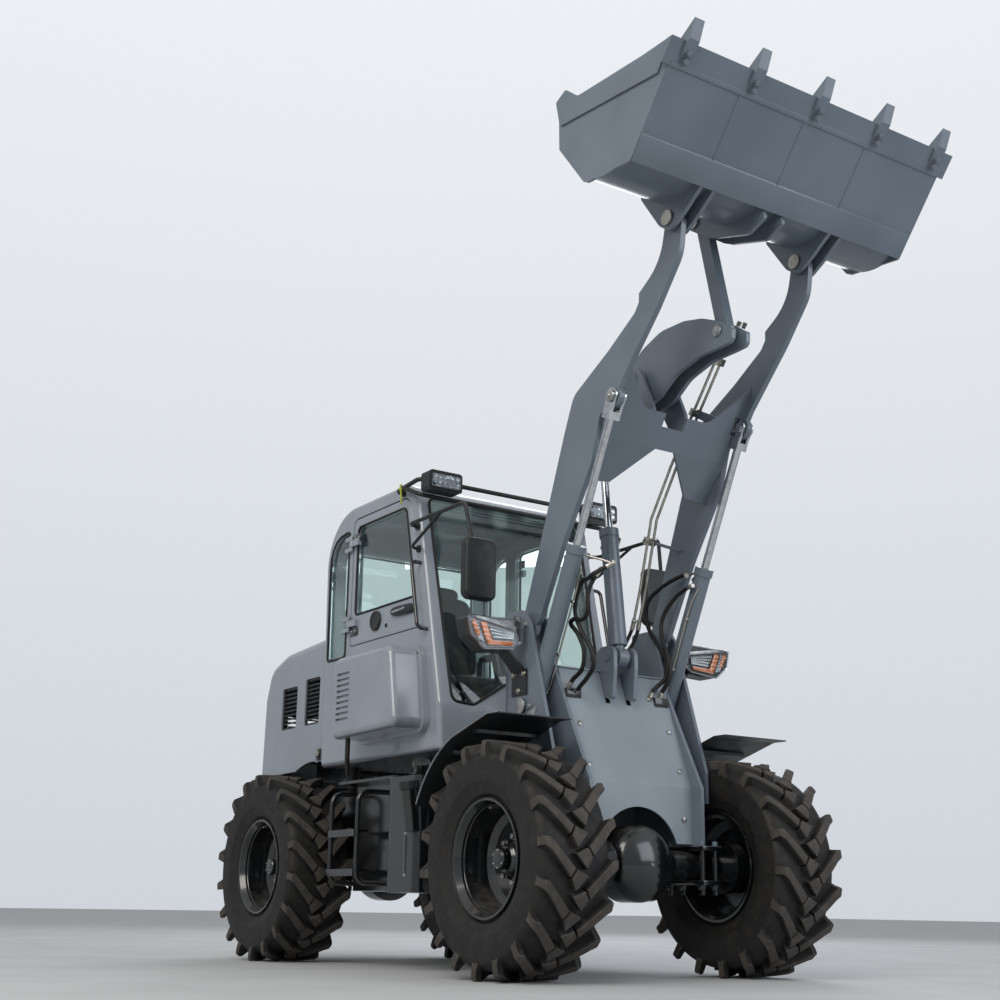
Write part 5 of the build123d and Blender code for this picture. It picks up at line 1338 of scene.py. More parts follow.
@dataclass(frozen=True)
class Hose:
    """Hydraulic hose along a route, with a crimped ferrule at each end; the ends ride on two bodies, the hose
    itself on none.
    """

    name: str
    start_body: str
    end_body: str
    radius: float
    route: Rows
    crimp_rows: Rows = ((-0.004, 0.009), (0, 0.0125), (0.030, 0.0125), (0.034, 0.0115), (0.036, 0.0102))
    nut_rows: Rows = ((-0.022, 0.012), (-0.020, 0.0135), (-0.006, 0.0135), (-0.003, 0.012))

    def build(self) -> None:
        """Makes the hose and its ends."""
        path = smooth_path([at(*p) for p in self.route], 14 * len(self.route))
        made = tube(self.name, path, self.radius / 1000, 14)
        Finish.HOSE.dress(made)
        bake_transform(made)
        for label, index, step, body in (("in", 0, 9, self.start_body), ("out", -1, -10, self.end_body)):
            tip, inner = path[index], path[step]
            ahead = (inner - tip) / np.linalg.norm(inner - tip)
            crimp = turned(f"{self.name}_{label}_crimp", self.crimp_rows, tip, ahead, 16)
            nut = turned(f"{self.name}_{label}_nut", self.nut_rows, tip, ahead, 6)
            put(Finish.ZINC, body, crimp, nut)


HOSES = (
    Hose("hose_near_upper", "lift_barrel_right", "front_frame", 11.5, (
        (236, -300, 1962), (188, -370, 1915), (130, -366, 1900), (67, -358, 1892), (-2, -346, 1809),
        (-15, -334, 1733), (19, -322, 1651), (77, -310, 1563), (82, -298, 1479), (12, -286, 1425),
        (-60, -275, 1392), (-110, -265, 1362),
    )),
    Hose("hose_near_lower", "lift_barrel_right", "front_frame", 11.5, (
        (160, -320, 1937), (142, -352, 1880), (119, -360, 1822), (108, -352, 1749), (57, -344, 1708),
        (-29, -336, 1722), (-66, -328, 1703), (-17, -320, 1646), (22, -312, 1556), (-5, -304, 1470),
        (-83, -300, 1430), (-120, -304, 1392),
    )),
    Hose("hose_far_upper", "lift_barrel_left", "front_frame", 11.5, (
        (47, 345, 2027), (1, 370, 2041), (-71, 361, 2028), (-177, 352, 1996), (-255, 335, 1939),
        (-262, 322, 1853), (-226, 318, 1762), (-142, 314, 1662), (-72, 307, 1577), (-79, 298, 1494),
        (-118, 262, 1440), (-116, 218, 1385),
    )),
    Hose("hose_far_lower", "lift_barrel_left", "front_frame", 11.5, (
        (77, 350, 1963), (20, 362, 1960), (-50, 352, 1925), (-110, 335, 1860), (-135, 322, 1790),
        (-120, 316, 1700), (-80, 312, 1620), (-50, 308, 1540), (-62, 300, 1470), (-100, 294, 1425),
        (-116, 290, 1385),
    )),
    Hose("hose_tilt_upper", "boom", "front_frame", 10.0, (
        (-262, 233, 1800), (-274, 226, 1758), (-284, 200, 1700), (-277, 150, 1640), (-256, 100, 1575),
        (-234, 84, 1530), (-228, 84, 1480),
    )),
    Hose("hose_tilt_lower", "boom", "front_frame", 10.0, (
        (-257, 267, 1803), (-264, 262, 1760), (-264, 235, 1700), (-247, 180, 1640), (-217, 125, 1575),
        (-197, 106, 1525), (-190, 108, 1470),
    )),
    Hose("hose_tilt_rod_end", "tilt_barrel", "front_frame", 10.0, (
        (-160, 52, 2210), (-200, 72, 2180), (-224, 86, 2080), (-228, 90, 1950), (-230, 92, 1800),
        (-242, 104, 1650), (-250, 122, 1550), (-252, 132, 1475),
    )),
    Hose("hose_tilt_base_end", "tilt_barrel", "front_frame", 10.0, (
        (-128, 56, 1700), (-165, 82, 1710), (-200, 104, 1680), (-216, 122, 1610), (-214, 140, 1530),
        (-212, 150, 1465),
    )),
)


@dataclass
class CylinderLines:
    """Steel lines and pads along the lift cylinders, and the blocks that the hoses end in."""

    upper_radius: float = 6.0
    lower_radius: float = 5.0
    upper_right: Rows = (
        (122, -421, 2012), (128, -400, 2020), (150, -372, 2006), (200, -330, 1985), (238, -302, 1964),
    )
    upper_left: Rows = ((60, 421, 2048), (52, 400, 2045), (45, 375, 2036), (46, 352, 2028))
    # Drawn for the left-hand side
    lower: Rows = (
        (95, 385, 1955), (40, 372, 1862), (-60, 372, 1650), (-150, 372, 1462), (-196, 376, 1376),
        (-205, 392, 1352),
    )
    pads: Rows = ((10, 1800), (-110, 1548))

    def build(self) -> None:
        """Makes lines, pads and blocks."""
        for side in Side:
            body = f"lift_barrel_{side.label}"
            upper = self.upper_right if side is Side.RIGHT else self.upper_left
            lower = [(x, side.value * y, z) for x, y, z in self.lower]
            self.line(f"line_{body}_a", upper, body, self.upper_radius)
            self.line(f"line_{body}_b", lower, body, self.lower_radius)
            pads = []
            for i, (x, z) in enumerate(self.pads):
                start, end = (x, side.value * 380, z), (x, side.value * 368, z)
                pads.append(bar(f"pad_{body}_{i}", start, end, 9, 12))
            put(Finish.ZINC, body, *pads)
        for y in (-285, 285):
            name = f"manifold_{y // 285}"
            put(Finish.BLACK, "front_frame", slab(name, (-150, y - 45, 1340), (-96, y + 45, 1388), 3))
        put(Finish.BLACK, "front_frame", slab("hose_plate", (-262, 74, 1452), (-184, 160, 1466), 2))

    def line(self, name: str, route: Rows, body: str, radius: float) -> None:
        """Bent steel line that rides on one body.

        Args:
            name: the piece's name.
            route: side-view places that it goes through.
            body: the body that carries it.
            radius: its radius in millimetres.
        """
        path = smooth_path([at(*p) for p in route], 10 * len(route))
        put(Finish.ZINC, body, tube(name, path, radius / 1000, 12))


# ---- Front frame, lamps and loader


@dataclass
class Headlights:
    """Lamp insides that show through the clear lens: reflectors, amber indicator and rim."""

    rim_x: float = -199.0
    crystal_x: float = -201.0
    lens: Rows = (
        (-859, 1708, 14), (-537, 1716, 14), (-542, 1600, 14), (-582, 1570, 14), (-762, 1552, 14),
        (-838, 1617, 20),
    )
    stripe: Rows = ((-836, 1678, 3), (-816, 1690, 3), (-782, 1615, 3), (-801, 1609, 3))
    corner: Rows = (
        (-784, 1680, 3), (-752, 1684, 3), (-712, 1596, 3), (-592, 1602, 3), (-594, 1582, 3),
        (-736, 1571, 6), (-758, 1613, 6),
    )
    blade: Rows = ((-837, 1708, 3), (-785, 1712, 3), (-570, 1678, 3), (-574, 1660, 3), (-790, 1694, 3))
    field: Rows = ((-740, 1676), (-578, 1652), (-586, 1612), (-704, 1604))
    slant: Rows = ((-832, 1668), (-800, 1690), (-752, 1580), (-790, 1592))
    bracket_bolts: Rows = ((-278, 1372), (-322, 1456), (-234, 1456))

    def build(self) -> None:
        """Makes both lamps."""
        for side in Side:
            name = side.label
            rim = loop(f"lamp_rim_{name}", side.flipped(self.lens), front_place(self.rim_x), 5.0)
            put(Finish.CLEAR, "front_frame", rim)
            insides = (
                ("stripe", Finish.AMBER, self.stripe),
                ("corner", Finish.AMBER, self.corner),
                ("blade", Finish.RUBBING, self.blade),
            )
            for label, finish, drawn in insides:
                rows = side.flipped(drawn)
                inside = plate(f"lamp_{label}_{name}", rows, front_place(-202), front_place(-196.5), 1)
                put(finish, "front_frame", inside)
            put(Finish.MIRROR, "front_frame", self.crystals(f"lamp_crystals_{name}", self.field, side, 11, 4))
            put(Finish.MIRROR, "front_frame", self.crystals(f"lamp_edge_{name}", self.slant, side, 3, 7))
            heads = []
            for i, (x, z) in enumerate(self.bracket_bolts):
                spot = (x, side.value * 498.5, z)
                heads.append(bolt(f"lamp_bolt{i}_{name}", spot, (0, side.value, 0), 20, 10))
            put(Finish.ZINC, "front_frame", *heads)

    def crystals(self, name: str, corners: Rows, side: Side, columns: int, rows: int) -> Piece:
        """Field of four-sided pyramids, as a lamp's faceted reflector has, spread evenly between corners.

        Args:
            name: the piece's name.
            corners: four corners (y, z), drawn for the right-hand side.
            side: the side that the lamp is on.
            columns: pyramids along the first edge.
            rows: pyramids along the next.

        Returns:
            The new object.
        """
        a, b, c, d = (np.array((-side.value * y, z), float) for y, z in corners)
        made = []
        for i in range(columns):
            for j in range(rows):
                u, v = (i + 0.5) / columns, (j + 0.5) / rows
                y, z = (1 - v) * ((1 - u) * a + u * b) + v * ((1 - u) * d + u * c)
                spot = at(self.crystal_x, y, z)
                made.append(turned(f"{name}_{i}_{j}", [(0, 0.0088), (0.0045, 0.0015)], spot, (1, 0, 0), 4))
        return joined(name, made)


@dataclass
class FrontFittings:
    """Bolts, pin heads, weld beads and straps of the front frame, its cover, axle and mudguards."""

    # Direction in which the leaning part of the cover faces
    cover_out: Point = (0.936, 0, 0.351)
    # Tower pins, rows (x, z, radius of the head)
    pins: Sequence[tuple[int, int, float]] = ((-302, 1711, 46.0), (-255, 1295, 40.0))
    guard_radius: float = 616.0
    guard_edge_y: float = 914.2

    def build(self) -> None:
        """Makes the fittings."""
        put(Finish.COVER, "front_frame", slab("cover_strap", (-178, -338, 1496.7), (-150, 338, 1504), 1.5))
        self.cover_bolts()
        self.tower_pins()
        self.axle_clamps()
        rhombus = [(-246, 1190, 4), (-152, 1218, 4), (-128, 1282, 4), (-222, 1254, 4)]
        badge = plate("tower_plate", rhombus, side_place(-490), side_place(-493), 0.6)
        put(Finish.WORN, "front_frame", badge)
        for side in Side:
            y, name = side.value * 491, side.label
            tower = weld(f"weld_tower_{name}_0", (-398, y, 870), (-398, y, 1480))
            y = side.value * 468
            foot = weld(f"weld_foot_{name}_0", (-395, y, 868), (5, y, 868))
            put(Finish.SLATE, "front_frame", tower, foot)
            self.mudguard(side)

    def cover_bolts(self) -> None:
        """Six heads along the cover's edges."""
        heads = []
        for y in (-287, 287):
            heads.append(bolt(f"cover_low{y}", (57.2, y, 760), (1, 0, 0), 22, 10))
            heads.append(bolt(f"cover_high{y}", (-50, y, 1206), self.cover_out, 22, 10))
            heads.append(bolt(f"cover_mid{y}", (27, y, 1000), self.cover_out, 22, 10))
        put(Finish.WORN, "front_frame", *heads)

    def tower_pins(self) -> None:
        """Heads and keeper plates of the pins in the towers."""
        caps, keepers = [], []
        for side in Side:
            s = side.value
            for x, z, r in self.pins:
                profile = [(-0.3, r - 2), (3, r), (9, r), (12, r - 4)]
                rows = [(a / 1000, b / 1000) for a, b in profile]
                caps.append(turned(f"tower_cap_{x}_{s}", rows, at(x, s * 500, z), (0, s, 0), 36))
                spot = (x + r + 26, s * 490, z - 6)
                caps.append(bolt(f"tower_keeper_{x}_{s}", spot, (0, s, 0), 20, 10))
        put(Finish.WORN, "front_frame", *caps)
        for x, z, _ in self.pins:
            for side in Side:
                y = side.value * 490
                low, high = (x + 8, y - 4, z - 22), (x + 92, y + 5, z + 10)
                keepers.append(slab(f"keeper_{x}_{side.value}", low, high, 1.5))
        put(Finish.SLATE, "front_frame", *keepers)

    def axle_clamps(self) -> None:
        """Clamp plates, studs and nuts that hold the front axle to its seat."""
        clamps = []
        for side in Side:
            s = side.value
            for z0, z1 in ((443, 466), (609, 631)):
                low, high = (-151, s * 390 - 63, z0), (151, s * 390 + 63, z1)
                clamps.append(slab(f"axle_clamp_{z0}_{s}", low, high, 2))
            for x in (-120, 120):
                for y in (s * 348, s * 432):
                    clamps.append(bar(f"axle_stud_{x}_{y}", (x, y, 395), (x, y, 635), 15))
                    clamps.append(bolt(f"axle_stud_nut_{x}_{y}", (x, y, 443), (0, 0, -1), 42, 22))
        put(Finish.BLACK, "front_frame", *clamps)

    def mudguard(self, side: Side) -> None:
        """Bright outer edge and two bolts of one mudguard; the edge is an arc, then a flat run.

        Args:
            side: the side that it is on.
        """
        y = side.value * self.guard_edge_y
        turn = np.radians(np.arange(154, 111, -3))
        arc = zip(self.guard_radius * np.cos(turn), self.guard_radius * np.sin(turn))
        edge = [at(x, y, 537 + z) for x, z in arc]
        edge += [at(71, y, 1191.5), at(158, y, 1191.5)]
        bead = tube(f"guard_edge_{side.label}", np.array(edge), 0.0045, 8)
        put(Finish.RUBBING, "front_frame", bead)
        studs = []
        for i, across in enumerate((560, 760)):
            spot = (-120, side.value * across, 1141.5)
            studs.append(bolt(f"guard_bolt_{side.label}{i}", spot, (0, 0, 1), 18, 9))
        put(Finish.WORN, "front_frame", *studs)


@dataclass
class LoaderFittings:
    """Pin heads, grease nipples and welds of boom, bell crank and lift rods."""

    rod_eye: tuple[float, float] = (433.0, 2751.0)
    crank_pin: tuple[float, float] = (174.0, 2993.0)
    crank_ends: Sequence[tuple[int, int]] = ((-235, 2800), (784, 3071))
    lift_rows: Rows = ((-SEAT, 0.030), (0.004, 0.030), (0.006, 0.027))
    crank_rows: Rows = ((-SEAT, 0.034), (0.004, 0.036), (0.009, 0.036), (0.012, 0.031))
    end_rows: Rows = ((-SEAT, 0.028), (0.004, 0.030), (0.008, 0.030), (0.011, 0.025))
    nipple_rows: Rows = (
        (0, 0.005), (0.006, 0.005), (0.007, 0.0032), (0.011, 0.0032), (0.013, 0.0045), (0.016, 0.003),
    )

    def build(self) -> None:
        """Makes the fittings."""
        ends = []
        for side in Side:
            s, out = side.value, (0, side.value, 0)
            x, z = self.rod_eye
            cap = turned(f"lift_cap_{s}", self.lift_rows, at(x, s * 462, z), out, 32)
            keeper = bolt(f"lift_keeper_{s}", (x, s * 468, z), out, 16, 8)
            put(Finish.WORN, f"lift_rod_{side.label}", cap, keeper)
            x, z = self.crank_pin
            cap = turned(f"crank_cap_{s}", self.crank_rows, at(x, s * 126, z), out, 36)
            put(Finish.WORN, "bellcrank_pin", cap)
            for x, z in self.crank_ends:
                ends.append(turned(f"end_cap_{x}_{s}", self.end_rows, at(x, s * 60, z), out, 32))
        put(Finish.WORN, "bellcrank", *ends)
        for side in Side:
            s = side.value
            spot = at(-342, s * 405.6, 1659)
            put(Finish.ZINC, "boom", turned(f"grease_nipple_{s}", self.nipple_rows, spot, (0, -s, 0), 12))
            foot = weld(f"weld_cross_{side.label}_0", (400, s * 403, 2742), (523, s * 403, 2946))
            put(Finish.SLATE, "boom", foot)


@dataclass
class BucketTrim:
    """Floor seams, wear bands, tooth bolts and welds of the bucket, given in its own frame (a, b)."""

    tip: tuple[float, float] = (905.0, 3513.0)
    pitch: float = math.radians(52)
    seams: Sequence[int] = (-460, -50, 365)
    teeth: int = 5
    tooth_pitch: float = 409.0
    # Corners (a, b) of the flat band along the heel and of the strip behind the cutting edge
    heel: Rows = ((197, -132), (197, -146), (318, -146), (330, -143), (330, -132))
    strip: Rows = ((640, -149), (664, -149), (664, -144), (640, -144))

    def place(self, a: float, b: float) -> tuple[float, float]:
        """Side-view place (x, z) of a point in the bucket's own frame, which is turned by its pitch.

        Args:
            a: distance along the floor.
            b: distance up from the pin, square to the floor.

        Returns:
            The place.
        """
        c, s = math.cos(self.pitch), math.sin(self.pitch)
        return self.tip[0] + a * c - b * s, self.tip[1] + a * s + b * c

    def build(self) -> None:
        """Makes the trim."""
        (x0, z0), (x1, z1) = self.place(322, -143.5), self.place(640, -143.5)
        seams = [weld(f"seam_{y}_0", (x0, y, z0), (x1, y, z1), 3.0) for y in self.seams]
        x, z = self.place(641, -144)
        seams.append(weld("seam_edge_0", (x, -884, z), (x, 884, z), 4.5))
        put(Finish.SLATE, "bucket", *seams)
        rows = [(*self.place(a, b), 0) for a, b in self.heel]
        put(Finish.SLATE, "bucket", plate("heel_band", rows, side_place(-883), side_place(883), 1))
        down = (math.sin(self.pitch), 0, -math.cos(self.pitch))
        heads = []
        for i in range(self.teeth):
            y = (i - (self.teeth - 1) / 2) * self.tooth_pitch
            for a in (676, 716):
                x, z = self.place(a, -166)
                heads.append(bolt(f"tooth_bolt_{i}_{a}", (x, y, z), down, 24, 12))
        put(Finish.SLATE, "bucket", joined("tooth_bolts", heads))
        rows = [(*self.place(a, b), 0) for a, b in self.strip]
        put(Finish.SLATE, "bucket", plate("edge_strip", rows, side_place(-880), side_place(880), 1))


# ---- Cab


@dataclass
class Windows:
    """Black rubber seals around every pane, and the folded plane of the windscreen."""

    side_y: float = 600.5
    bead: float = 7.0
    # Height and place along the machine of the folds in the cab's front
    fold_z: Point = (1120, 1378, 2457, 2692)
    fold_x: Point = (-866, -886, -1143, -1190)
    door_right: Rows = ((-1880, 2000, 30), (-1880, 2545, 40), (-1298, 2545, 60), (-1168, 2000, 30))
    door_left: Rows = ((-1880, 1560, 30), (-1880, 2545, 40), (-1298, 2545, 60), (-1092, 1560, 30))
    quarter: Rows = ((-2222, 1760, 30), (-2238, 2540, 205), (-1990, 2540, 30), (-1990, 1760, 30))
    screen: Rows = (
        (-535, 2585, 50), (535, 2585, 50), (516, 1389, 50), (374, 1379, 60), (148, 1515, 60),
        (-148, 1515, 60), (-374, 1379, 60), (-516, 1389, 50),
    )
    rear: Rows = ((-480, 2480, 60), (480, 2480, 60), (480, 2020, 60), (-480, 2020, 60))

    def screen_place(self, proud: float) -> Placer:
        """Placer of outlines (y, z) on the cab's folded front.

        Args:
            proud: how far they stand off it in millimetres.

        Returns:
            The placer.
        """
        return lambda p: np.array(
            [at(x + proud, u, v) for x, (u, v) in zip(np.interp(p[:, 1], self.fold_z, self.fold_x), p)]
        )

    def rear_place(self, points: np.ndarray) -> np.ndarray:
        """Places an outline (y, z) on the cab's leaning back, which goes back 50 mm over its height."""
        lean = (-2305 + 2255) / (2692 - 1120)
        return np.array([at(-2256 + (v - 1120) * lean, u, v) for u, v in points])

    def build(self) -> None:
        """Makes the seals."""
        for side in Side:
            rows = self.door_right if side is Side.RIGHT else self.door_left
            place = side_place(side.value * self.side_y)
            door = f"door_{side.label}"
            put(Finish.SEAL, door, loop(f"seal_{door}", rows, place, self.bead))
            quarter = loop(f"seal_quarter_{side.label}", self.quarter, place, self.bead)
            put(Finish.SEAL, "rear_frame", quarter)
        screen = loop("seal_windscreen", self.screen, self.screen_place(3), 8)
        rear = loop("seal_rear", self.rear, self.rear_place, self.bead)
        put(Finish.SEAL, "rear_frame", screen, rear)
        self.wiper()

    def wiper(self) -> None:
        """Windscreen wiper: motor cap, arm and blade, both straight in the windscreen's outline."""
        t = np.linspace(0, 1, 12)
        arm_line = np.stack([40 + 190 * t, 1548 + 560 * t], -1)
        arm = tube("wiper_arm", self.screen_place(26)(arm_line), 0.006, 10)
        t = np.linspace(0, 1, 14)
        blade_line = np.stack([110 + 230 * t, 1820 + 500 * t], -1)
        blade = tube("wiper_blade", self.screen_place(12)(blade_line), 0.0075, 8)
        spot = self.screen_place(-2)(arm_line[:1])[0]
        cap = turned("wiper_cap", [(0.0, 0.024), (0.022, 0.022), (0.032, 0.014)], spot, (0.97, 0, 0.23), 24)
        put(Finish.PLASTIC, "rear_frame", arm, blade, cap)


@dataclass
class CabFittings:
    """Door furniture, pod bolts, horn, mirrors, work lamps and a strap left on the roof."""

    wall_y: float = 600.0
    # Middle of each door's grip, as (x, z), and the heights of its hinges
    grip_right: tuple[float, float] = (-1283.0, 1938.0)
    grip_left: tuple[float, float] = (-1230.0, 1480.0)
    hinges_right: Sequence[int] = (1900, 2480)
    hinges_left: Sequence[int] = (1330, 1900, 2480)
    lock_rows: Rows = (
        (-SEAT, 0.058), (0.010, 0.060), (0.016, 0.052), (0.013, 0.046), (0.014, 0.012),
    )
    pod_bolts: Rows = ((-1040, 1268), (-1050, 1662), (-1722, 1262), (-1722, 1664))
    mirror: Rows = ((-690, 1876, 30), (-690, 2184, 30), (-515, 2184, 30), (-515, 1876, 30))
    work_lamp: Rows = ((-652, 2580, 14), (-652, 2666, 14), (-458, 2666, 14), (-458, 2580, 14))
    tie_route: Rows = (
        (-1310, -615, 2660), (-1290, -650, 2668), (-1262, -668, 2640), (-1256, -664, 2590),
        (-1262, -660, 2545),
    )

    def build(self) -> None:
        """Makes the fittings."""
        for side in Side:
            self.door(side)
        heads = [bolt(f"pod_bolt_{x}_{z}", (x, -640, z), (0, -1, 0), 16, 8) for x, z in self.pod_bolts]
        put(Finish.WORN, "rear_frame", *heads)
        horn_rows = [(-SEAT, 0.030), (0.022, 0.032), (0.030, 0.027), (0.031, 0.014)]
        put(Finish.PLASTIC, "rear_frame", turned("horn", horn_rows, at(-872, -395, 1215), (1, 0, 0), 32))
        for side in Side:
            self.mirror_face(side)
            self.lamp_face(side)
        tie = tube("roof_tie", smooth_path([at(*p) for p in self.tie_route], 30), 0.005, 10)
        knot_rows = [(-0.008, 0.006), (-0.004, 0.011), (0.004, 0.011), (0.009, 0.006)]
        knot = turned("roof_tie_knot", knot_rows, at(-1262, -666, 2632), (0, 0, 1), 16)
        put(Finish.TIE, "rear_frame", tie, knot)

    def door(self, side: Side) -> None:
        """Grip, pull bar, lock, plug and hinge straps of one door.

        Args:
            side: the side that the door is on.
        """
        right = side is Side.RIGHT
        s, out = side.value, (0, side.value, 0)
        door, face = f"door_{side.label}", s * self.wall_y
        x, z = self.grip_right if right else self.grip_left
        grip = cushion(f"grip_{door}", (x, face + s * 9, z), (134, 17, 25), 3, 2, 20)
        start, end = (x - 96, face + s * 27, z - 2), (x + 40, face + s * 27, z + 2)
        pull = bar(f"pull_{door}", start, end, 7)
        lock = turned(f"lock_{door}", self.lock_rows, at(x - 332, face, z - 13), out, 36)
        plug_rows = [(-SEAT, 0.012), (0.004, 0.012), (0.006, 0.008)]
        plug = turned(f"plug_{door}", plug_rows, at(x - 210, face, z - 58), out, 20)
        put(Finish.PLASTIC, door, grip, lock, plug)
        put(Finish.CHROME, door, pull)
        for hinge in self.hinges_right if right else self.hinges_left:
            low, high = (-1930, face - s * 0.3, hinge - 26), (-1838, face + s * 9, hinge + 26)
            put(Finish.BLACK, door, slab(f"strap_{door}_{hinge}", low, high, 3))
            for dx in (0, 46):
                spot = (-1860 - dx, face + s * 9, hinge)
                put(Finish.WORN, door, bolt(f"strap_bolt_{door}_{hinge}_{dx}", spot, out, 14, 6))

    def mirror_face(self, side: Side) -> None:
        """Silvered glass and rim of one mirror.

        Args:
            side: the side that the mirror is on.
        """
        rows = side.flipped(self.mirror)
        glass = plate(f"mirror_glass_{side.label}", rows, front_place(-529.7), front_place(-533), 0.8)
        put(Finish.MIRROR, "rear_frame", glass)
        put(Finish.PLASTIC, "rear_frame", loop(f"mirror_rim_{side.label}", rows, front_place(-531), 5))

    def lamp_face(self, side: Side) -> None:
        """Reflector, lens, rim and ten bright cups of one work lamp.

        Args:
            side: the side that the lamp is on.
        """
        rows, name = side.flipped(self.work_lamp), side.label
        face = plate(f"work_face_{name}", rows, front_place(-941.3), front_place(-939.6), 0.5)
        lens = plate(f"work_lens_{name}", rows, front_place(-937.0), front_place(-935), 0.5)
        put(Finish.LED_FACE, "rear_frame", face)
        put(Finish.CLEAR, "rear_frame", lens)
        put(Finish.PLASTIC, "rear_frame", loop(f"work_rim_{name}", rows, front_place(-938), 5))
        cup = [(0, 0.012), (0.0016, 0.0115), (0.0008, 0.006)]
        cups = []
        for y in (-630, -592, -555, -518, -480):
            for z in (2604, 2643):
                spot = at(-939.7, -side.value * y, z)
                cups.append(turned(f"work_dot_{name}{y}{z}", cup, spot, (1, 0, 0), 20))
        put(Finish.MIRROR, "rear_frame", joined(f"work_dots_{name}", cups))


@dataclass
class DriverPlace:
    """Suspension seat with padded cushions, headrest and armrests, levers and instrument pod."""

    x: float = -1650.0
    back_x: float = -1868.0
    # Lean of cushion and back in degrees
    seat_lean: float = -4.0
    back_lean: float = -96.0
    folds: int = 21

    def build(self) -> None:
        """Makes the driver's place."""
        for piece in self.cushions():
            Finish.VINYL.dress(piece)
            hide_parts("seat")
            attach(piece, "rear_frame")
        frame_pieces = self.seat_frame()
        for piece in frame_pieces:
            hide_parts("seat")
        put(Finish.PLASTIC, "rear_frame", *frame_pieces)
        dash = cushion("dash_hood", (-1115, 0, 1475), (95, 150, 70), 4, 0, 24)
        boot_rows = [(0, 0.045), (0.02, 0.04), (0.05, 0.022), (0.07, 0.016)]
        boot = turned("stick_boot", boot_rows, at(-1440, -440, 1618), (0.1, 0, 1), 24)
        put(Finish.PLASTIC, "rear_frame", dash, boot)
        knob_rows = [(0, 0.012), (0.015, 0.018), (0.03, 0.016), (0.038, 0.008)]
        for i, y in enumerate((-480, -420)):
            lever = bar(f"lever_{i}", (-1600, y, 1600), (-1570, y, 1740), 6, 12)
            knob = turned(f"lever_knob_{i}", knob_rows, at(-1572, y, 1732), (0.2, 0, 1), 16)
            put(Finish.PLASTIC, "rear_frame", lever, knob)

    def cushions(self) -> list[Piece]:
        """Padded pieces of the seat.

        Returns:
            The cushions, bolsters, wings, headrest and armrests.
        """
        lean, back = self.seat_lean, self.back_lean
        made = [
            cushion("seat_base", (self.x, 0, 1582), (242, 236, 44), 14, lean),
            cushion("seat_back", (self.back_x, 0, 1925), (268, 226, 44), 12, back),
            cushion("seat_head", (-1905, 0, 2205), (44, 120, 40), 6, -8, 24),
        ]
        for side in Side:
            s = side.value
            made.append(cushion(f"seat_bolster_{s}", (self.x, s * 205, 1606), (212, 34, 30), 4, lean, 24))
            made.append(cushion(f"seat_wing_{s}", (-1842, s * 192, 1900), (190, 32, 34), 4, back, 24))
            made.append(cushion(f"seat_arm_{s}", (-1670, s * 285, 1815), (184, 30, 20), 3, 0, 20))
        return made

    def seat_frame(self) -> list[Piece]:
        """Riser, pan, armrest posts, bellows and the piping around the cushion.

        Returns:
            The new pieces, not yet finished.
        """
        made = [
            slab("seat_riser", (-1790, -180, 1165.5), (-1510, 180, 1300), 8),
            slab("seat_pan", (-1860, -215, 1512), (-1430, 215, 1545), 10),
        ]
        for side in Side:
            y = side.value * 262
            made.append(slab(f"seat_post_{side.value}", (-1850, y - 12, 1560), (-1815, y + 12, 1800), 4))
        # Bellows: the radius goes in and out with each fold
        bellows = [(0.13 + 0.01 * i, 0.162 if i % 2 else 0.144) for i in range(self.folds)]
        made.append(turned("seat_bellows", bellows, at(self.x, 0, 1165), (0, 0, 1), 40))
        rows = [(-1870, -215, 60), (-1870, 215, 60), (-1432, 215, 60), (-1432, -215, 60)]
        made.append(loop("seat_piping", rows, self.piping_place, 3))
        return made

    def piping_place(self, points: np.ndarray) -> np.ndarray:
        """Places an outline (x, y) on the cushion's top, which rises 7 mm in every 100."""
        return np.array([at(u, v, 1612 + (u - self.x) * 0.07) for u, v in points])


# ---- Rear end


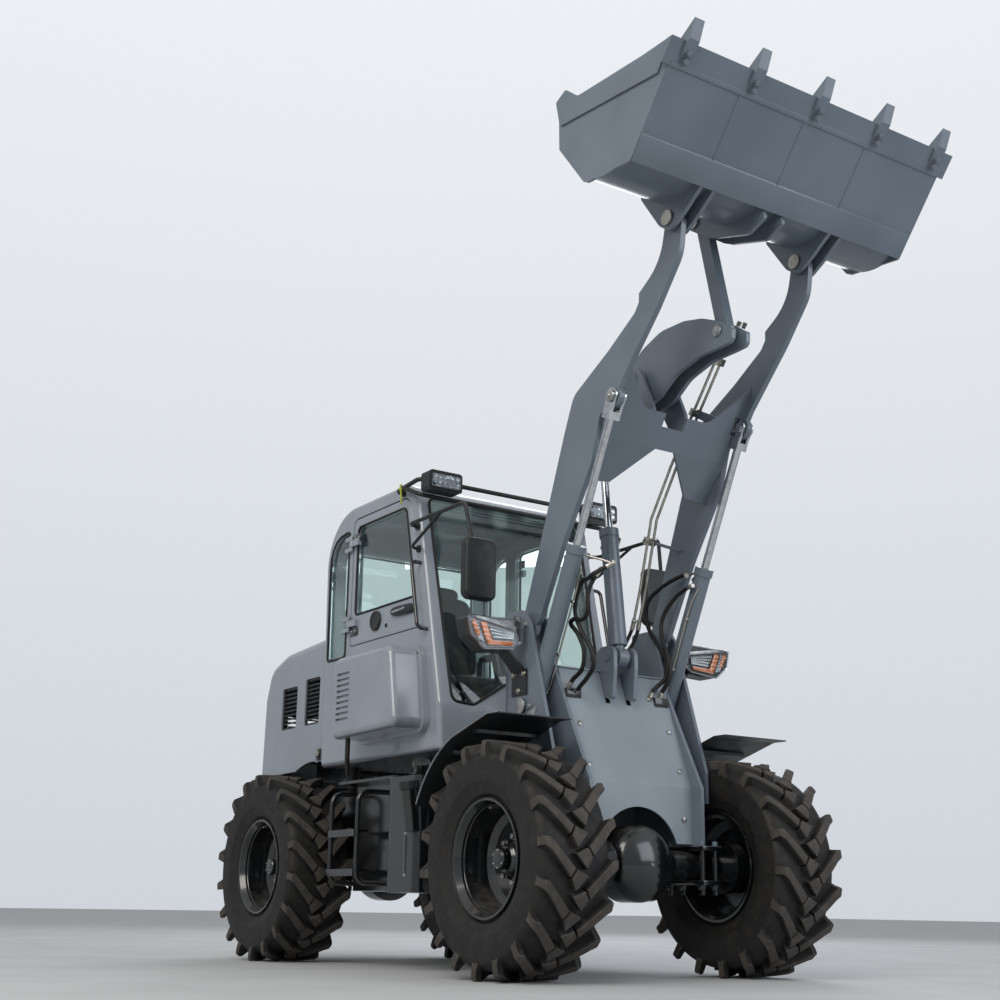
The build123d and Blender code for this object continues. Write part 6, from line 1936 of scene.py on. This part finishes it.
@dataclass
class RearFittings:
    """Tank fittings, hood catches, axle nuts, rain cap and bands of the two stacks."""

    gauge_y: float = -750.0
    gauge_bolts: Sequence[int] = (474, 684)
    stack: tuple[float, float] = (-2560.0, 255.0)
    bands: Sequence[int] = (2040, 2130)
    axle_nuts: Sequence[int] = (-2376, -2484, -2576)
    cap_rows: Rows = ((-SEAT, 0.034), (0.020, 0.036), (0.026, 0.031), (0.027, 0.012))
    latch_rows: Rows = ((-SEAT, 0.022), (0.008, 0.023), (0.012, 0.018))
    clamp_rows: Rows = ((0, 0.0385), (0.012, 0.0385), (0.012, 0.043), (0, 0.043))
    band_rows: Rows = ((0, 0.0883), (0.008, 0.0883), (0.008, 0.091), (0, 0.091))

    def build(self) -> None:
        """Makes the fittings."""
        self.tank()
        for side in Side:
            self.side_fittings(side)
        x, y = self.stack
        flap_rows = [(0, 0.043), (0.004, 0.044), (0.006, 0.040)]
        flap = turned("rain_cap", flap_rows, at(x, y, 2252), (-0.35, 0, 1), 32)
        clamp = ring("stack_clamp", self.clamp_rows, at(x, y, 1990), (0, 0, 1), 40)
        put(Finish.WORN, "hood", flap, clamp)
        for z in self.bands:
            band = ring(f"cleaner_band_{z}", self.band_rows, at(x, -y, z), (0, 0, 1), 48)
            put(Finish.PLASTIC, "hood", band)

    def tank(self) -> None:
        """Sight gauge and slanted filler neck of the right-hand tank."""
        low, high = (-950, self.gauge_y - 2, 486), (-918, self.gauge_y + 0.3, 672)
        put(Finish.CLEAR, "rear_frame", slab("tank_gauge", low, high, 1.5))
        for z in self.gauge_bolts:
            head = bolt(f"gauge_bolt_{z}", (-934, self.gauge_y, z), (0, -1, 0), 14, 6)
            put(Finish.WORN, "rear_frame", head)
        neck = bar("filler_neck", (-862, -750, 690), (-862, -778, 905), 42, 32)
        lid = bar("filler_lid", (-862, -777, 901), (-862, -785, 950), 50, 32)
        put(Finish.BLACK, "rear_frame", neck)
        put(Finish.PLASTIC, "rear_frame", lid)

    def side_fittings(self, side: Side) -> None:
        """Filler cap, hood catch and axle nuts of one side.

        Args:
            side: the side that they are on.
        """
        s, name = side.value, side.label
        cap = turned(f"filler_{name}", self.cap_rows, at(-985, s * 655, 980), (0, 0, 1), 32)
        put(Finish.PLASTIC, "rear_frame", cap)
        y = s * 540
        catch = slab(f"hood_catch_{name}", (-2420, y - 1, 1180), (-2372, y + s * 10, 1250), 3)
        put(Finish.BLACK, "hood", catch)
        latch = turned(f"hood_latch_{name}", self.latch_rows, at(-2396, s * 549, 1215), (0, s, 0), 24)
        put(Finish.ZINC, "hood", latch)
        for x in self.axle_nuts:
            rows = [(0, 0.020), (0.016, 0.020), (0.018, 0.015)]
            nut = turned(f"axle_nut_{name}{x}", rows, at(x, s * 372, 452), (0, 0, -1), 6)
            put(Finish.WORN, "rear_frame", nut)


# ---- Stage, light and camera


@dataclass(frozen=True)
class SoftBox:
    """Square soft box that faces a point."""

    name: str
    place: Point
    aim: Point
    size: float
    power: float
    tone: str

    def build(self) -> None:
        """Makes the lamp."""
        data = bpy.data.lights.new(self.name, "AREA")
        data.size = self.size
        data.energy = self.power
        data.color = colour(self.tone)[:3]
        made = bpy.data.objects.new(self.name, data)
        made.location = self.place
        ahead = Vector(self.aim) - Vector(self.place)
        made.rotation_euler = ahead.to_track_quat("-Z", "Y").to_euler()
        bpy.context.scene.collection.objects.link(made)


@dataclass
class Studio:
    """Pale floor and surround, soft lights and the photograph's low camera."""

    place: tuple[float, float, float] = (5.69872 + SHIFT, -4.57690, 0.32018)
    yaw: float = 2.557768
    pitch: float = 0.276263
    roll: float = 0.015347
    lens: float = 51.79
    floor_half: float = 60.0
    floor_drop: float = 0.001
    lamps: Sequence[SoftBox] = (
        SoftBox("key", (5.5, -9.0, 8.5), (0.6, 0.0, 1.6), 7.0, 730.0, "#fffaf2"),
        SoftBox("fill", (9.5, 4.0, 4.5), (0.8, 0.0, 1.5), 6.0, 260.0, "#eef4ff"),
        SoftBox("rim", (-7.5, 6.5, 7.5), (0.0, 0.0, 2.0), 6.0, 330.0, "#f4f8ff"),
    )

    def build(self) -> None:
        """Makes the camera, the floor, the world and the lamps."""
        bpy.context.scene.view_settings.view_transform = "Standard"
        self.camera()
        self.ground()
        self.world()
        for lamp in self.lamps:
            lamp.build()

    def camera(self) -> None:
        """Camera turned by yaw, pitch and roll, looking up from the ground."""
        level = math.cos(self.pitch)
        ahead = Vector((level * math.cos(self.yaw), level * math.sin(self.yaw), math.sin(self.pitch)))
        right = ahead.cross(Vector((0, 0, 1))).normalized()
        rise = right.cross(ahead)
        c, s = math.cos(self.roll), math.sin(self.roll)
        right, rise = c * right + s * rise, c * rise - s * right
        data = bpy.data.cameras.new("camera")
        data.lens = self.lens
        data.clip_end = 300
        made = bpy.data.objects.new("camera", data)
        turn = Matrix((right, rise, -ahead)).transposed()
        made.matrix_world = Matrix.Translation(self.place) @ turn.to_4x4()
        bpy.context.scene.collection.objects.link(made)
        bpy.context.scene.camera = made

    def ground(self) -> None:
        """Wide pale floor, 1 mm below the tyres."""
        reach = np.array([-self.floor_half, self.floor_half])
        x, y = np.meshgrid(reach, reach)
        floor = surface("floor", np.stack([x, y, 0 * x - self.floor_drop], -1))
        r = Recipe("Concrete floor, power floated and sealed pale")
        r.feed(Base_Color=r.mix(r.between(r.noise(900, 4), 0.35, 0.65), "#c4c5c5", "#babbbb"))
        r.set(Roughness=0.75)
        r.bump(r.noise(5, 3), 0.1)
        floor.data.materials.append(r.made)

    def world(self) -> None:
        """Soft even surround, paler where the camera sees it, directly or through glass."""
        world = bpy.data.worlds.new("studio")
        bpy.context.scene.world = world
        world.use_nodes = True
        tree = world.node_tree
        tree.nodes.clear()
        place = add_node(tree, "ShaderNodeTexCoord").outputs["Generated"]
        height = add_node(tree, "ShaderNodeSeparateXYZ", links={0: place}).outputs["Z"]
        values = {"From Min": -0.1, "From Max": 0.6, "To Min": 0.0, "To Max": 1.0}
        share = add_node(tree, "ShaderNodeMapRange", values, {"Value": height}).outputs[0]
        sky = add_node(tree, "ShaderNodeMix", data_type="RGBA", links={"Factor": share})
        sky.inputs[6].default_value = colour("#c9cfd6")
        sky.inputs[7].default_value = colour("#eef1f5")
        light = add_node(tree, "ShaderNodeBackground", {"Strength": 0.62}, {"Color": sky.outputs[2]})
        seen = add_node(tree, "ShaderNodeBackground", {"Strength": 1.0}, {"Color": sky.outputs[2]})
        ray = add_node(tree, "ShaderNodeLightPath")
        rays = {0: ray.outputs["Is Camera Ray"], 1: ray.outputs["Is Transmission Ray"]}
        either = add_node(tree, "ShaderNodeMath", operation="MAXIMUM", links=rays)
        links = {0: either.outputs[0], 1: light.outputs[0], 2: seen.outputs[0]}
        mixed = add_node(tree, "ShaderNodeMixShader", links=links)
        add_node(tree, "ShaderNodeOutputWorld", links={0: mixed.outputs[0]})


def main() -> None:
    """Builds the stage, dresses the solids and adds the small pieces in order."""
    logging.basicConfig(level=logging.INFO, format="%(name)s: %(message)s")
    Studio().build()
    dress_nodes()
    parts = (
        Wheels(),
        OilLines(),
        *HOSES,
        CylinderLines(),
        Headlights(),
        FrontFittings(),
        LoaderFittings(),
        BucketTrim(),
        Windows(),
        CabFittings(),
        DriverPlace(),
        RearFittings(),
    )
    for part in parts:
        part.build()
        LOG.info("%s built", type(part).__name__)


if __name__ == "__main__":
    main()
